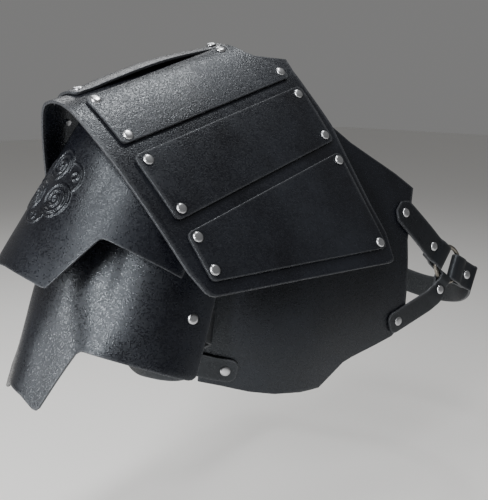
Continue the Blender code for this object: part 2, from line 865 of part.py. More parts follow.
def smooth_route(points, normals, step):
    # Even points on a smooth curve through a route, with their outward directions; its ends stay straight
    spots, outs = [], []
    for index in range(len(points) - 1):
        before = points[max(index - 1, 0)]
        first, second = points[index], points[index + 1]
        after = points[min(index + 2, len(points) - 1)]
        inside = 0 < index < len(points) - 2
        count = max(int((second - first).length / step), 1) if inside else 1
        for part in range(count):
            t = part / count
            spots.append(0.5 * (
                2.0 * first + (second - before) * t
                + (2.0 * before - 5.0 * first + 4.0 * second - after) * t * t
                + (3.0 * first - before - 3.0 * second + after) * t * t * t
            ))
            outs.append(normals[index].lerp(normals[index + 1], t).normalized())
    return spots + [points[-1]], outs + [normals[-1]]


# Route of the chest strap past the back ring, then round the body's right side: points and outward directions
CHEST_HEADING = 150.0
CHEST_SIDE = [
    ((-0.327, 0.091, -0.228), (-0.70, 0.71, -0.05)),
    ((-0.343, 0.061, -0.240), (-0.93, 0.36, -0.03)),
    ((-0.348, 0.022, -0.245), (-1.00, 0.00, 0.00)),
]
BODY_MIDDLE = 0.022


def mirrored(vector, middle=0.0):
    return Vector((vector[0], 2.0 * middle - vector[1], vector[2]))


def build_chest_strap(rings, material, collection):
    heading = math.radians(CHEST_HEADING)
    half = STRAP_WIDTH / 2.0
    points, outs = [], []
    for ring, turn in ((rings["back"], False), (rings["front"], True)):
        way = math.cos(heading) * ring.level + math.sin(heading) * ring.down
        spot = ring.centre + (STRAP_GAP - ring.height) * ring.normal
        part = [(spot + reach * way, ring.normal) for reach in (0.0, 0.85 * CHEST_STRAIGHT, CHEST_STRAIGHT)]
        for point, out in CHEST_SIDE[:2]:
            part.append((
                mirrored(point, BODY_MIDDLE) if turn else Vector(point),
                mirrored(out) if turn else Vector(out),
            ))
        if turn:
            part.reverse()
        else:
            part.append((Vector(CHEST_SIDE[2][0]), Vector(CHEST_SIDE[2][1])))
        points += [point for point, out in part]
        outs += [out for point, out in part]
    spots, normals = smooth_route(points, outs, STRAP_STEP)
    band = Band(spots, normals)
    total = band.stations[-1]

    # Along the strap: from the back loop's tail, over its fold, along the band, to the front loop's tail
    reach = total / 2.0 - RING_RADIUS - LOOP_RUN
    section = loop_section(reach, half)
    length = section.stations[-1]

    def place(x, y, height):
        bent = section.place(abs(x), height)
        spot = total / 2.0 + (bent.x if x > 0.0 else -bent.x)
        return band.place(spot, y, bent.y)

    outline = [(-length, -half), (length, -half), (length, half), (-length, half)]
    far = length - TAIL + CLOSING
    near = reach - CLOSING
    holes = [(-near, 0.0), (-far, 0.0)]
    cuts = [x - total / 2.0 for x in band.stations if abs(x - total / 2.0) < reach - 0.001]
    cuts += [sign * x for sign in (-1.0, 1.0) for x in section.stations[1:-1]]
    bent_sheet("chest_strap", outline, holes, place, material, collection, sorted(cuts))
    return [("rivet_chest_strap", *rivet_seat(place, -near))]


def build_band(name, points, outs, width, rivet_places, material, collection):
    # A plain strap with rounded ends along a route; gives back its rivets
    spots, normals = smooth_route(points, outs, STRAP_STEP)
    band = Band(spots, normals)
    length = band.stations[-1]
    corners = [(0.0, -width / 2.0), (length, -width / 2.0), (length, width / 2.0), (0.0, width / 2.0)]
    outline = corner_points(corners, STRAP_CORNER)
    holes = [(place if place > 0.0 else length + place, 0.0) for place in rivet_places]
    bent_sheet(name, outline, holes, band.place, material, collection, band.stations[1:-1])
    rivets = []
    for number, hole in enumerate(holes, start=1):
        rivets.append((f"rivet_{name}_{number}", *rivet_seat(band.place, hole[0])))
    return rivets


# Route of the strap under the arm between the panels: its ends in shares of the panels, then points in space
UNDERARM_ENDS = [(0.512, 0.757), (0.587, 0.743), (0.663, 0.7285)]
UNDERARM_SIDE = [
    ((0.018, 0.058, -0.254), (0.85, 0.53, 0.00)),
    ((0.028, 0.034, -0.257), (0.98, 0.20, 0.00)),
    ((0.033, 0.008, -0.256), (1.00, 0.00, 0.00)),
]


def build_underarm_strap(panels, material, collection):
    points = [Vector(point) for point, out in UNDERARM_SIDE]
    outs = [Vector(out) for point, out in UNDERARM_SIDE]
    for outward, drop in UNDERARM_ENDS[::-1]:
        for panel, at in ((panels["back"], 0), (panels["front"], len(points) + 1)):
            spot, normal = panel.frame(outward * PANEL_WIDTH, drop * PANEL_HEIGHT, 0.0)
            points.insert(at, spot + STRAP_GAP * normal)
            outs.insert(at, normal)
    return build_band(
        "underarm_strap", points, outs, NARROW_STRAP_WIDTH, (0.0100, -0.0100), material, collection
    )


# Route of the strap behind the arm: on the lower plate's back, through the air, on its front
ARM_RIVET = (0.1315, 0.0270)
ARM_STRAP_BACK = [(0.116, 0.027), (0.136, 0.027), (0.149, 0.028)]
ARM_STRAP_FRONT = [(-0.100, 0.030), (-0.116, 0.030)]
ARM_STRAP_SLACK = 0.0030
ARM_STRAP_SIDE = [
    ((0.006, 0.092, -0.212), (-0.75, 0.66, 0.00)),
    ((0.014, 0.068, -0.222), (-0.95, 0.30, 0.00)),
    ((0.026, 0.040, -0.226), (-0.94, 0.34, 0.00)),
    ((0.034, 0.010, -0.226), (-0.96, 0.26, 0.00)),
    ((0.048, -0.022, -0.214), (-0.80, -0.60, 0.00)),
]


def build_arm_strap(lower, material, collection):
    under = LEATHER + STRAP_GAP + LEATHER
    points, outs = [], []
    for around, drop in ARM_STRAP_BACK:
        spot, normal = lower.frame(around, drop, -under)
        points.append(spot)
        outs.append(normal)
    for point, out in ARM_STRAP_SIDE:
        points.append(Vector(point))
        outs.append(Vector(out))
    for around, drop in ARM_STRAP_FRONT[::-1]:
        spot, normal = lower.frame(around, drop, -under - ARM_STRAP_SLACK)
        points.append(spot)
        outs.append(normal)
    share = (ARM_RIVET[0] - ARM_STRAP_BACK[0][0]) / (ARM_STRAP_BACK[1][0] - ARM_STRAP_BACK[0][0])
    seat = share * (points[1] - points[0]).length
    return build_band("arm_strap", points, outs, STRAP_WIDTH, (seat,), material, collection)


def main():
    clear_scene()
    collection = make_collection("pauldron")
    leather = make_material("black_leather", (0.020, 0.021, 0.023), 0.48, 0.0)
    strip_leather = make_material("strip_leather", (0.026, 0.027, 0.030), 0.42, 0.0)
    strap_leather = make_material("strap_leather", (0.024, 0.025, 0.027), 0.45, 0.0)
    silver = make_material("polished_rivet", (0.72, 0.72, 0.73), 0.22, 1.0)
    gunmetal = make_material("ring_metal", (0.30, 0.28, 0.25), 0.30, 1.0)

    places = build_strips(strip_leather, collection)
    holes = [hole for name, hole in places]
    build_shell(leather, collection, holes)
    doubled = rivet_mesh("doubled_rivet", 2.0 * LEATHER + GAP, silver)
    for name, (inward, arc) in places:
        spot, normal = shell_frame(inward, arc, GAP + LEATHER)
        add_rivet(f"rivet_{name}", doubled, spot, normal, collection)

    seated = rivet_mesh("seated_rivet", 2.0 * LEATHER + STRAP_GAP, silver)
    panels = {side: Panel(side) for side in ("back", "front")}
    rings = {side: RingPlace(panels[side]) for side in panels}
    under = build_underarm_strap(panels, strap_leather, collection)
    for side, panel in panels.items():
        rivets = []
        for row in RING_STRAPS:
            at_panel, *at_loop = build_ring_strap(row, side, rings[side], strap_leather, collection)
            rivets.append(at_panel)
            for name, spot, normal in at_loop:
                add_rivet(name, doubled, spot, normal, collection)
        rivets.append(under[0] if side == "back" else under[1])
        holes = []
        for name, spot, normal in rivets:
            holes.append(pattern_place(panel, spot - (LEATHER + STRAP_GAP) * normal, *RING_PLACE))
            add_rivet(name, seated, spot, normal, collection)
        build_panel(panel, side, leather, collection, holes)
        build_ring(side, rings[side], gunmetal, collection)
    for name, spot, normal in build_chest_strap(rings, strap_leather, collection):
        add_rivet(name, doubled, spot, normal, collection)
    upper, lower = ArmPlate(UPPER), ArmPlate(LOWER)
    holes = []
    for name, spot, normal in build_arm_strap(lower, strap_leather, collection):
        seat = spot + (LEATHER + STRAP_GAP) * normal
        holes.append(pattern_place(lower, seat, *ARM_RIVET))
        add_rivet(name, seated, seat, normal, collection)
    build_upper_lame(upper, leather, collection)
    build_lower_lame(lower, leather, collection, holes)


main()
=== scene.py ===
import math

import bpy
import numpy as np
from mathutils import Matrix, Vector


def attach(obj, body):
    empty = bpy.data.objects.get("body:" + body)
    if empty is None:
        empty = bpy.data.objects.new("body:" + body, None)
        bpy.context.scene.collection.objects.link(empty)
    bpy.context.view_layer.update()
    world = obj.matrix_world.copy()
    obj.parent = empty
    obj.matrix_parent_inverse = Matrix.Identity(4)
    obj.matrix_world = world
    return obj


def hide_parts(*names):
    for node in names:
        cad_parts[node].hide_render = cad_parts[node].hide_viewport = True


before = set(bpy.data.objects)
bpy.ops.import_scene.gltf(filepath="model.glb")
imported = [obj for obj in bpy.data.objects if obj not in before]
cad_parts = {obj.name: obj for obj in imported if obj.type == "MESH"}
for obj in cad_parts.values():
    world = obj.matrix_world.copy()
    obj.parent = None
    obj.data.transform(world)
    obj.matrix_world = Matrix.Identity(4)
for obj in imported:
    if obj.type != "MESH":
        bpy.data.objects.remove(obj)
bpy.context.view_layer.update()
print("frame loaded:", len(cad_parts), "nodes")

# Leather and clearances shared by all pieces, metres
leather = {
    "thickness": 0.0024,
    "gap": 0.0003,  # between two riveted sheets
    "strapGap": 0.0008,  # between a strap and the sheet under it
    "edgeRound": 0.0005,  # radius of the rubbed rim
    "rimSteps": 4,
    "highlightAndWearReach": 0.0005,  # how far the lighter rim, wear plus a painted highlight, reaches in from the rim
}

# How finely lines and grids are divided, and how their faces are shaded
drawing = {
    "lineStep": 0.0004,
    "rowGap": 0.0002,  # rows nearer than this become one
    "edgeInset": 0.0001,
    "cornerSteps": 5,
    "sharpAngle": 50.0,
    "faceWeight": 60,
}


def unit(vectors):
    return vectors / np.maximum(np.linalg.norm(vectors, axis=-1, keepdims=True), 1e-12)


def smoothStep(low, high, value):
    share = np.clip((value - low) / (high - low), 0.0, 1.0)
    return share * share * (3.0 - 2.0 * share)


# A line whose heading changes evenly round each joint of its runs. x and y are the running sums of the
# step times the heading's cosine and sine, measured from the joint between behind and ahead.
def bentLine(ahead, behind=(), widest=1.0):
    rows = list(behind)[::-1] + list(ahead)
    lengths = np.array([row[0] for row in rows])
    turns = np.radians([row[1] for row in rows])
    ends = np.concatenate(([0.0], np.cumsum(lengths))) - sum(row[0] for row in behind)
    half = np.minimum(np.minimum(lengths[1:], lengths[:-1]), widest) / 2.0
    knots = np.stack((ends[1:-1] - half, ends[1:-1] + half), axis=1).ravel()
    stations = np.linspace(ends[0], ends[-1], int((ends[-1] - ends[0]) / drawing["lineStep"]) + 2)
    headings = np.interp(stations, knots, np.repeat(turns, 2)[1:-1])
    middles = (headings[1:] + headings[:-1]) / 2.0
    run = np.diff(stations)
    x = np.concatenate(([0.0], np.cumsum(run * np.cos(middles))))
    y = np.concatenate(([0.0], np.cumsum(run * np.sin(middles))))
    return stations, x - np.interp(0.0, stations, x), y - np.interp(0.0, stations, y), headings


# The line's point at a station plus the height times its normal (minus sine, cosine of the heading)
def linePlace(line, along, height):
    stations, x, y, headings = line
    turn = np.interp(along, stations, headings)
    flatX = np.interp(along, stations, x) - height * np.sin(turn)
    flatY = np.interp(along, stations, y) + height * np.cos(turn)
    return flatX, flatY


# Each corner becomes an arc: centre on the bisector, radius over the sine of half the corner's angle away
def roundCorners(outline, radius):
    rounded = []
    steps = drawing["cornerSteps"]
    for index, corner in enumerate(outline):
        corner = Vector(corner)
        before = (Vector(outline[index - 1]) - corner).normalized()
        after = (Vector(outline[(index + 1) % len(outline)]) - corner).normalized()
        half = before.angle(after) / 2.0
        reach = radius / math.tan(half)
        centre = corner + (before + after).normalized() * radius / math.sin(half)
        first, second = corner + before * reach - centre, corner + after * reach - centre
        for step in range(steps + 1):
            rounded.append(tuple(centre + radius * first.slerp(second, step / steps).normalized()))
    return rounded


# Lowest and highest crossing of each level row with the straight edges of a closed outline
def spanOf(outline, rows):
    start, end = outline, np.roll(outline, -1, axis=0)
    rise = end[:, 1] - start[:, 1]
    level = rows[:, None]
    crossed = (level >= np.minimum(start[:, 1], end[:, 1])) & (level <= np.maximum(start[:, 1], end[:, 1]))
    crossed &= np.abs(rise) > 1e-9
    share = (level - start[:, 1]) / np.where(np.abs(rise) > 1e-9, rise, 1.0)
    cross = start[:, 0] + share * (end[:, 0] - start[:, 0])
    return np.where(crossed, cross, np.inf).min(axis=1), np.where(crossed, cross, -np.inf).max(axis=1)


# Even rows over a flat outline, each divided evenly from its lowest to its highest crossing
def flatGrid(outline, rowStep, columns, turned, fineRows):
    flat = np.array(outline, float)
    if turned:
        flat = flat[:, ::-1]
    low, high = flat[:, 1].min() + drawing["edgeInset"], flat[:, 1].max() - drawing["edgeInset"]
    even = np.linspace(low, high, max(int((high - low) / rowStep), 3))
    corners = np.clip(flat[:, 1], low, high)
    rows = np.unique(np.concatenate((even, corners, fineRows)))
    rows = rows[np.concatenate(([True], np.diff(rows) > drawing["rowGap"]))]
    first, last = spanOf(flat, rows)
    across = np.linspace(0.0, 1.0, columns + 1)
    u = first[:, None] + across * (last - first)[:, None]
    v = np.repeat(rows[:, None], columns + 1, axis=1)
    inside = np.minimum(np.minimum(u - first[:, None], last[:, None] - u), np.minimum(v - low, high - v))
    return (v, u, inside) if turned else (u, v, inside)


# Quads between neighbouring rows and columns of a grid
def quadRows(rows, columns):
    index = np.arange(rows * columns).reshape(rows, columns)
    corners = (index[:-1, :-1], index[:-1, 1:], index[1:, 1:], index[1:, :-1])
    return np.stack(corners, axis=-1).reshape(-1, 4)


# Leather has wear and a painted highlight towards its rim and even shading, metal has sharp edges where it
# turns far
def makePiece(name, points, faceRows, look, node=None, rimWearAndHighlight=None):
    mesh = bpy.data.meshes.new(name)
    faces = [face for rows in faceRows for face in rows.tolist()]
    mesh.from_pydata(points.reshape(-1, 3).tolist(), [], faces)
    mesh.shade_smooth()
    mesh.materials.append(materials[look])
    piece = bpy.data.objects.new(name, mesh)
    bpy.context.scene.collection.objects.link(piece)
    if rimWearAndHighlight is None:
        mesh.set_sharp_from_angle(angle=math.radians(drawing["sharpAngle"]))
    else:
        attribute = mesh.attributes.new("edge", "FLOAT", "POINT")
        attribute.data.foreach_set("value", rimWearAndHighlight.astype(np.float32).ravel())
        shading = piece.modifiers.new("even shading", "WEIGHTED_NORMAL")
        shading.weight = drawing["faceWeight"]
    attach(piece, "root")
    if node:
        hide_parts(node)


# Slow waves that leather keeps from hanging: the height times the sum of sines, each of a slant along u,
# a slant along v, a phase and a share, growing along v where that is asked
def slowWaves(waves, u, v):
    total = 0.0
    for first, second, phase, share in waves["sines"]:
        total = total + share * np.sin(u * first + v * second + phase)
    if "grow" in waves:
        total = total * smoothStep(*waves["grow"], v)
    return waves["height"] * total


# A cut sheet with a rounded rim. The outer face is place(u, v, relief) on the grid, the inner face the
# same one thickness lower, and the rim a half round carried along the grid's border: outward by the
# radius times the sine, down by the radius times one less the cosine. The rim's wear and painted
# highlight fall off as the exponential of the distance from the rim.
def leatherSheet(node, outline, place, look, rowStep, columns, turned=False, relief=None, fineRows=()):
    u, v, inside = flatGrid(outline, rowStep, columns, turned, fineRows)
    rows, count = u.shape
    thickness, radius = leather["thickness"], leather["edgeRound"]

    def lifted(pu, pv, height):
        return place(pu, pv, height + (relief(pu, pv) if relief else 0.0 * pu))

    outer = lifted(u, v, 0.0)
    inner = lifted(u, v, -thickness)
    index = np.arange(rows * count).reshape(rows, count)
    border = np.concatenate((index[0, :-1], index[:-1, -1], index[-1, :0:-1], index[:0:-1, 0]))
    borderU, borderV = u.ravel()[border], v.ravel()[border]
    wayU = np.roll(borderU, -1) - np.roll(borderU, 1)
    wayV = np.roll(borderV, -1) - np.roll(borderV, 1)
    size = np.maximum(np.hypot(wayU, wayV), 1e-9)
    area = np.sum(borderU * np.roll(borderV, -1) - np.roll(borderU, -1) * borderV)
    outU, outV = np.sign(area) * wayV / size, -np.sign(area) * wayU / size
    angles = np.radians(np.linspace(0.0, 90.0, leather["rimSteps"] + 1)[1:])
    outward = radius * np.concatenate((np.sin(angles), np.sin(angles)[::-1]))
    depth = radius * (1.0 - np.cos(angles))
    depth = np.concatenate((depth, thickness - depth[::-1]))
    rim = lifted(borderU + outward[:, None] * outU, borderV + outward[:, None] * outV, -depth[:, None])

    total = rows * count
    sheet = quadRows(rows, count)
    ring = 2 * total + np.arange(rim.shape[0] * len(border)).reshape(rim.shape[0], len(border))
    levels = np.concatenate((border[None, :], ring, border[None, :] + total))
    after = np.roll(levels, -1, axis=1)
    band = np.stack((levels[:-1], levels[1:], after[1:], after[:-1]), axis=-1).reshape(-1, 4)
    faces = np.concatenate((sheet, sheet[:, ::-1] + total, band))
    points = np.concatenate((outer.reshape(-1, 3), inner.reshape(-1, 3), rim.reshape(-1, 3)))

    midRow, midColumn = rows // 2, count // 2
    across = outer[midRow, midColumn + 1] - outer[midRow, midColumn]
    down = outer[midRow + 1, midColumn] - outer[midRow, midColumn]
    if np.dot(np.cross(across, down), outer[midRow, midColumn] - inner[midRow, midColumn]) < 0.0:
        faces = faces[:, ::-1]
    fromRim = np.concatenate((inside.ravel(), inside.ravel(), np.zeros(rim.size // 3)))
    makePiece(node + "_sheet", points, [faces], look, node, np.exp(-fromRim / leather["highlightAndWearReach"]))


# Finishes. dark and light are the leather's base colours, blue how much bluer than red they are, and
# grain and crackle the strength of the pebbles and of the fine creases.
looks = {
    "black_leather": {
        "dark": 0.0024, "light": 0.0062, "blue": 1.75, "roughness": 0.29, "grain": 0.30, "crackle": 0.04,
    },
    "strip_leather": {
        "dark": 0.0030, "light": 0.0082, "blue": 1.60, "roughness": 0.30, "grain": 0.36, "crackle": 0.12,
    },
    "strap_leather": {
        "dark": 0.0028, "light": 0.0066, "blue": 1.45, "roughness": 0.34, "grain": 0.28, "crackle": 0.03,
    },
    "polished_rivet": {"colour": (0.66, 0.67, 0.69), "roughness": 0.24, "dull": 0.40},
    "ring_metal": {"colour": (0.27, 0.25, 0.22), "roughness": 0.26, "dull": 0.45},
}

# Sizes of the patterns in the leather, as repeats in a metre, and how far each one moves the finish
pebbling = {
    "clouds": 16.0,
    "specks": 1300.0,
    "pebbles": 1000.0,
    "creases": 170.0,
    "bending": 60.0,  # noise that bends the creases
    "bend": 0.02,
    "creaseWidth": 0.12,
    "creaseLight": 2.2,  # the creases' brightness over the light colour
    # lighter rim colour: edge wear plus a painted highlight
    "highlightAndWearColour": (0.055, 0.057, 0.062, 1.0),
    "cloudGloss": (-0.06, 0.07),
    "pebbleGloss": (-0.09, 0.20),
    "depth": 0.0005,
    "specular": 0.50,
    "tint": (0.86, 0.93, 1.0, 1.0),
}
metalwork = {"patches": 130.0, "marks": 1600.0, "deeper": 0.62, "strength": 0.12, "depth": 0.0002}


def newMaterial(name):
    material = bpy.data.materials.new(name)
    material.use_nodes = True
    tree = material.node_tree
    return material, tree, tree.nodes["Principled BSDF"]


def addNode(tree, kind, **values):
    node = tree.nodes.new(kind)
    for key, value in values.items():
        if key in node.inputs:
            node.inputs[key].default_value = value
        else:
            setattr(node, key, value)
    return node


# first and second are colours or sockets, factor is a socket
def mixColour(tree, factor, first, second):
    node = tree.nodes.new("ShaderNodeMix")
    node.data_type = "RGBA"
    tree.links.new(factor, node.inputs[0])
    for socket, value in ((node.inputs[6], first), (node.inputs[7], second)):
        if isinstance(value, tuple):
            socket.default_value = value
        else:
            tree.links.new(value, socket)
    return node.outputs[2]


# ends are the lowest and highest value read, then the two given for them
def mapRange(tree, value, *ends):
    node = tree.nodes.new("ShaderNodeMapRange")
    tree.links.new(value, node.inputs["Value"])
    for key, number in zip(("From Min", "From Max", "To Min", "To Max"), ends):
        node.inputs[key].default_value = number
    return node.outputs["Result"]


def calculate(tree, operation, first, second):
    node = tree.nodes.new("ShaderNodeMath")
    node.operation = operation
    for socket, value in zip(node.inputs, (first, second)):
        if isinstance(value, (int, float)):
            socket.default_value = value
        else:
            tree.links.new(value, socket)
    return node.outputs[0]


# Pebbled satin leather: clouded colour, a gloss of its own for each pebble, fine specks in the relief,
# broken creases and a lighter line at cut edges that is wear plus a painted highlight
def leatherMaterial(name, look):
    material, tree, shader = newMaterial(name)
    link = tree.links.new
    place = tree.nodes.new("ShaderNodeTexCoord").outputs["Object"]
    clouds = addNode(tree, "ShaderNodeTexNoise", Scale=pebbling["clouds"], Detail=5.0, Roughness=0.6)
    specks = addNode(tree, "ShaderNodeTexNoise", Scale=pebbling["specks"], Detail=0.0)
    pebbles = addNode(tree, "ShaderNodeTexVoronoi", Scale=pebbling["pebbles"], Randomness=1.0)
    creases = addNode(tree, "ShaderNodeTexVoronoi", feature="DISTANCE_TO_EDGE", Scale=pebbling["creases"])
    bending = addNode(tree, "ShaderNodeTexNoise", Scale=pebbling["bending"], Detail=3.0)
    for node in (clouds, specks, pebbles, bending):
        link(place, node.inputs["Vector"])
    bent = addNode(tree, "ShaderNodeVectorMath", operation="MULTIPLY_ADD")
    link(bending.outputs["Color"], bent.inputs[0])
    bent.inputs[1].default_value = (pebbling["bend"],) * 3
    link(place, bent.inputs[2])
    link(bent.outputs["Vector"], creases.inputs["Vector"])
    crease = mapRange(tree, creases.outputs["Distance"], 0.0, pebbling["creaseWidth"], 1.0, 0.0)
    broken = mapRange(tree, bending.outputs["Fac"], 0.45, 0.65, 0.0, 1.0)
    crease = calculate(tree, "MULTIPLY", crease, broken)

    blue = look["blue"]
    dark = (look["dark"], look["dark"] * 1.02, look["dark"] * blue, 1.0)
    light = (look["light"], look["light"] * 1.15, look["light"] * blue, 1.0)
    bright = tuple(value * pebbling["creaseLight"] for value in light[:3]) + (1.0,)
    colour = mixColour(tree, mapRange(tree, clouds.outputs["Fac"], 0.35, 0.68, 0.0, 1.0), dark, light)
    colour = mixColour(tree, calculate(tree, "MULTIPLY", crease, look["crackle"]), colour, bright)
    # Lighter colour at the rim: edge wear broken by specks, plus a painted highlight along the cut edge
    edge = addNode(tree, "ShaderNodeAttribute", attribute_name="edge")
    uneven = mapRange(tree, specks.outputs["Fac"], 0.3, 0.7, 0.25, 0.9)
    wearAndHighlightMix = calculate(tree, "MULTIPLY", edge.outputs["Fac"], uneven)
    link(mixColour(tree, wearAndHighlightMix, colour, pebbling["highlightAndWearColour"]), shader.inputs["Base Color"])

    glossLow, glossHigh = (look["roughness"] + change for change in pebbling["cloudGloss"])
    rough = mapRange(tree, clouds.outputs["Fac"], 0.3, 0.7, glossLow, glossHigh)
    pebble = tree.nodes.new("ShaderNodeSeparateColor")
    link(pebbles.outputs["Color"], pebble.inputs["Color"])
    pitted = mapRange(tree, pebble.outputs["Red"], 0.0, 1.0, *pebbling["pebbleGloss"])
    link(calculate(tree, "ADD", rough, pitted), shader.inputs["Roughness"])
    relief = calculate(tree, "MULTIPLY", pebbles.outputs["Distance"], -0.55)
    relief = calculate(tree, "ADD", relief, calculate(tree, "MULTIPLY", specks.outputs["Fac"], 0.8))
    sunk = calculate(tree, "MULTIPLY", crease, 0.5 * look["crackle"])
    bump = addNode(tree, "ShaderNodeBump", Strength=look["grain"], Distance=pebbling["depth"])
    link(calculate(tree, "SUBTRACT", relief, sunk), bump.inputs["Height"])
    link(bump.outputs["Normal"], shader.inputs["Normal"])
    shader.inputs["Specular IOR Level"].default_value = pebbling["specular"]
    shader.inputs["Specular Tint"].default_value = pebbling["tint"]
    return material


# Metal with faint turning marks and duller patches
def metalMaterial(name, look):
    material, tree, shader = newMaterial(name)
    link = tree.links.new
    place = tree.nodes.new("ShaderNodeTexCoord").outputs["Object"]
    patches = addNode(tree, "ShaderNodeTexNoise", Scale=metalwork["patches"], Detail=4.0)
    marks = addNode(tree, "ShaderNodeTexNoise", Scale=metalwork["marks"], Detail=2.0)
    for node in (patches, marks):
        link(place, node.inputs["Vector"])
    dull = mapRange(tree, patches.outputs["Fac"], 0.35, 0.75, 0.0, 1.0)
    colour = tuple(look["colour"]) + (1.0,)
    deeper = tuple(metalwork["deeper"] * value for value in look["colour"]) + (1.0,)
    link(mixColour(tree, dull, colour, deeper), shader.inputs["Base Color"])
    link(mapRange(tree, dull, 0.0, 1.0, look["roughness"], look["dull"]), shader.inputs["Roughness"])
    bump = addNode(tree, "ShaderNodeBump", Strength=metalwork["strength"], Distance=metalwork["depth"])
    link(marks.outputs["Fac"], bump.inputs["Height"])
    link(bump.outputs["Normal"], shader.inputs["Normal"])
    shader.inputs["Metallic"].default_value = 1.0
    return material


materials = {
    name: leatherMaterial(name, look) if "grain" in look else metalMaterial(name, look)
    for name, look in looks.items()
}
print("materials made")

# The shoulder shell. Its section is folded in runs, each a share of the side's length with its slope in
# degrees, and its outline is in shares of the length and of half the width.
shell = {
    "length": 0.230,
    "halfWidth": 0.282,
    "ridgeOffset": 0.018,  # how far the ridge lies in front of the shoulder's middle
    "armOverhang": 0.108,  # from the shoulder's middle to the arm edge
    "slope": 15.0,
    "turn": 10.0,
    "rowStep": 0.0035,
    "columns": 64,
    "waves": {
        "height": 0.00028,
        "sines": [(31.0, 17.0, 0.6, 1.0), (14.0, -43.0, 2.1, 0.7), (67.0, 9.0, 0.0, 0.6)],
    },
    "backFolds": [
        (0.027, 4.0), (0.027, 14.0), (0.027, 26.0), (0.027, 36.0), (0.041, 42.0), (0.055, 45.0),
        (0.068, 47.0), (0.068, 50.0), (0.085, 53.0), (0.102, 55.0), (0.473, 56.0),
    ],
    "frontFolds": [
        (0.030, 9.0), (0.015, 28.0), (0.022, 46.0), (0.045, 60.0), (0.065, 66.0), (0.055, 70.0),
        (0.768, 72.0),
    ],
    "outline": [
        (0.000, 0.000), (0.000, 0.700), (0.014, 0.770), (0.024, 0.785), (0.040, 0.794), (0.820, 0.998),
        (0.836, 0.998), (0.846, 0.990), (0.890, 0.911), (0.909, 0.808), (0.985, 0.520), (0.988, 0.382),
        (0.997, 0.295), (1.012, 0.244), (0.940, 0.216), (0.881, 0.190), (0.845, 0.150), (0.836, 0.100),
        (0.846, 0.050), (0.850, 0.000),
    ],
}
slope, turn = math.radians(shell["slope"]), math.radians(shell["turn"])
ridge = np.array([math.cos(slope) * math.cos(turn), math.cos(slope) * math.sin(turn), -math.sin(slope)])
across = np.array([-math.sin(turn), math.cos(turn), 0.0])
over = np.cross(ridge, across)
up = np.array([0.0, 0.0, 1.0])
backLength = shell["halfWidth"] - shell["ridgeOffset"]
frontLength = shell["halfWidth"] + shell["ridgeOffset"]
shellLine = bentLine(
    [(share * backLength, -angle) for share, angle in shell["backFolds"]],
    [(share * frontLength, angle) for share, angle in shell["frontFolds"]],
)


# Arm edge minus inward along the ridge, the section's point across it, plus the height off its outer face
def shellPlace(inward, arc, height):
    flatX, flatY = linePlace(shellLine, arc, height)
    along = np.broadcast_to(shell["armOverhang"] - inward, flatX.shape)
    raised = leather["thickness"] + flatY
    return along[..., None] * ridge + flatX[..., None] * across + raised[..., None] * over


def shellWaves(inward, arc):
    return slowWaves(shell["waves"], inward, arc)


# The arc on the other side of the ridge
def mirroredArc(arc):
    return -2.0 * shell["ridgeOffset"] - arc


def buildShell():
    half = [(x * shell["length"], y * shell["halfWidth"] - shell["ridgeOffset"]) for x, y in shell["outline"]]
    other = [(x, mirroredArc(y)) for x, y in half[1:-1]]
    outline = half + other[::-1]
    leatherSheet(
        "shell", outline, shellPlace, "black_leather", shell["rowStep"], shell["columns"], relief=shellWaves
    )


# The riveted strips. Starts and corners are in shares of a strip's length and width, inward from the arm
# edge and down the side.
strips = {
    "length": 0.202,
    "width": 0.060,
    "spacing": 0.012,
    "inset": 0.0165,  # from the shell's arm edge
    "corner": 0.005,
    "rowStep": 0.003,
    "columns": 56,
    "topLength": 0.170,
    "topWidth": 0.058,
    "topLift": 0.004,
    "topFlat": 0.28,  # what lies flat at each end, as a share of the top strip's width
    "topRowStep": 0.002,
    "topColumns": 64,
    "rows": [
        {"start": 0.352, "corners": [
            (0.000, 0.0), (0.845, -0.153), (0.880, 0.20), (0.975, 0.57), (0.998, 0.825), (0.000, 0.825)]},
        {"start": 1.177, "corners": [(0.000, 0.0), (1.005, 0.0), (0.977, 1.0), (0.000, 1.0)]},
        {"start": 2.177, "corners": [(0.000, 0.0), (0.965, 0.0), (0.872, 1.60), (-0.020, 0.68)]},
    ],
}


def buildStrips():
    length, width, inset = strips["length"], strips["width"], strips["inset"]

    def place(x, y, height):
        return shellPlace(x, y, leather["gap"] + leather["thickness"] + height)

    for index, row in enumerate(strips["rows"]):
        first = row["start"] * width + index * strips["spacing"]
        for side in ("back", "front"):
            corners = [(inset + x * length, first + y * width) for x, y in row["corners"]]
            if side == "front":
                corners = [(x, mirroredArc(y)) for x, y in corners]
            leatherSheet(
                f"strip_{side}_{index + 1}", roundCorners(corners, strips["corner"]), place, "strip_leather",
                strips["rowStep"], strips["columns"], relief=shellWaves,
            )

    low, high = inset, inset + strips["topLength"]
    near = -shell["ridgeOffset"] + strips["topWidth"] / 2.0
    far = near - strips["topWidth"]
    flat = strips["topFlat"] * strips["topWidth"]

    # The top strip stands off the shell by its lift times a half sine between its flat ends
    def topPlace(x, y, height):
        share = np.clip((x - low - flat) / (strips["topLength"] - 2.0 * flat), 0.0, 1.0)
        return place(x, y, height + strips["topLift"] * np.sin(np.pi * share))

    corners = roundCorners([(low, far), (high, far), (high, near), (low, near)], strips["corner"])
    leatherSheet(
        "strip_top", corners, topPlace, "strip_leather",
        strips["topRowStep"], strips["topColumns"], relief=shellWaves,
    )


buildShell()
buildStrips()
print("shell and strips laid")

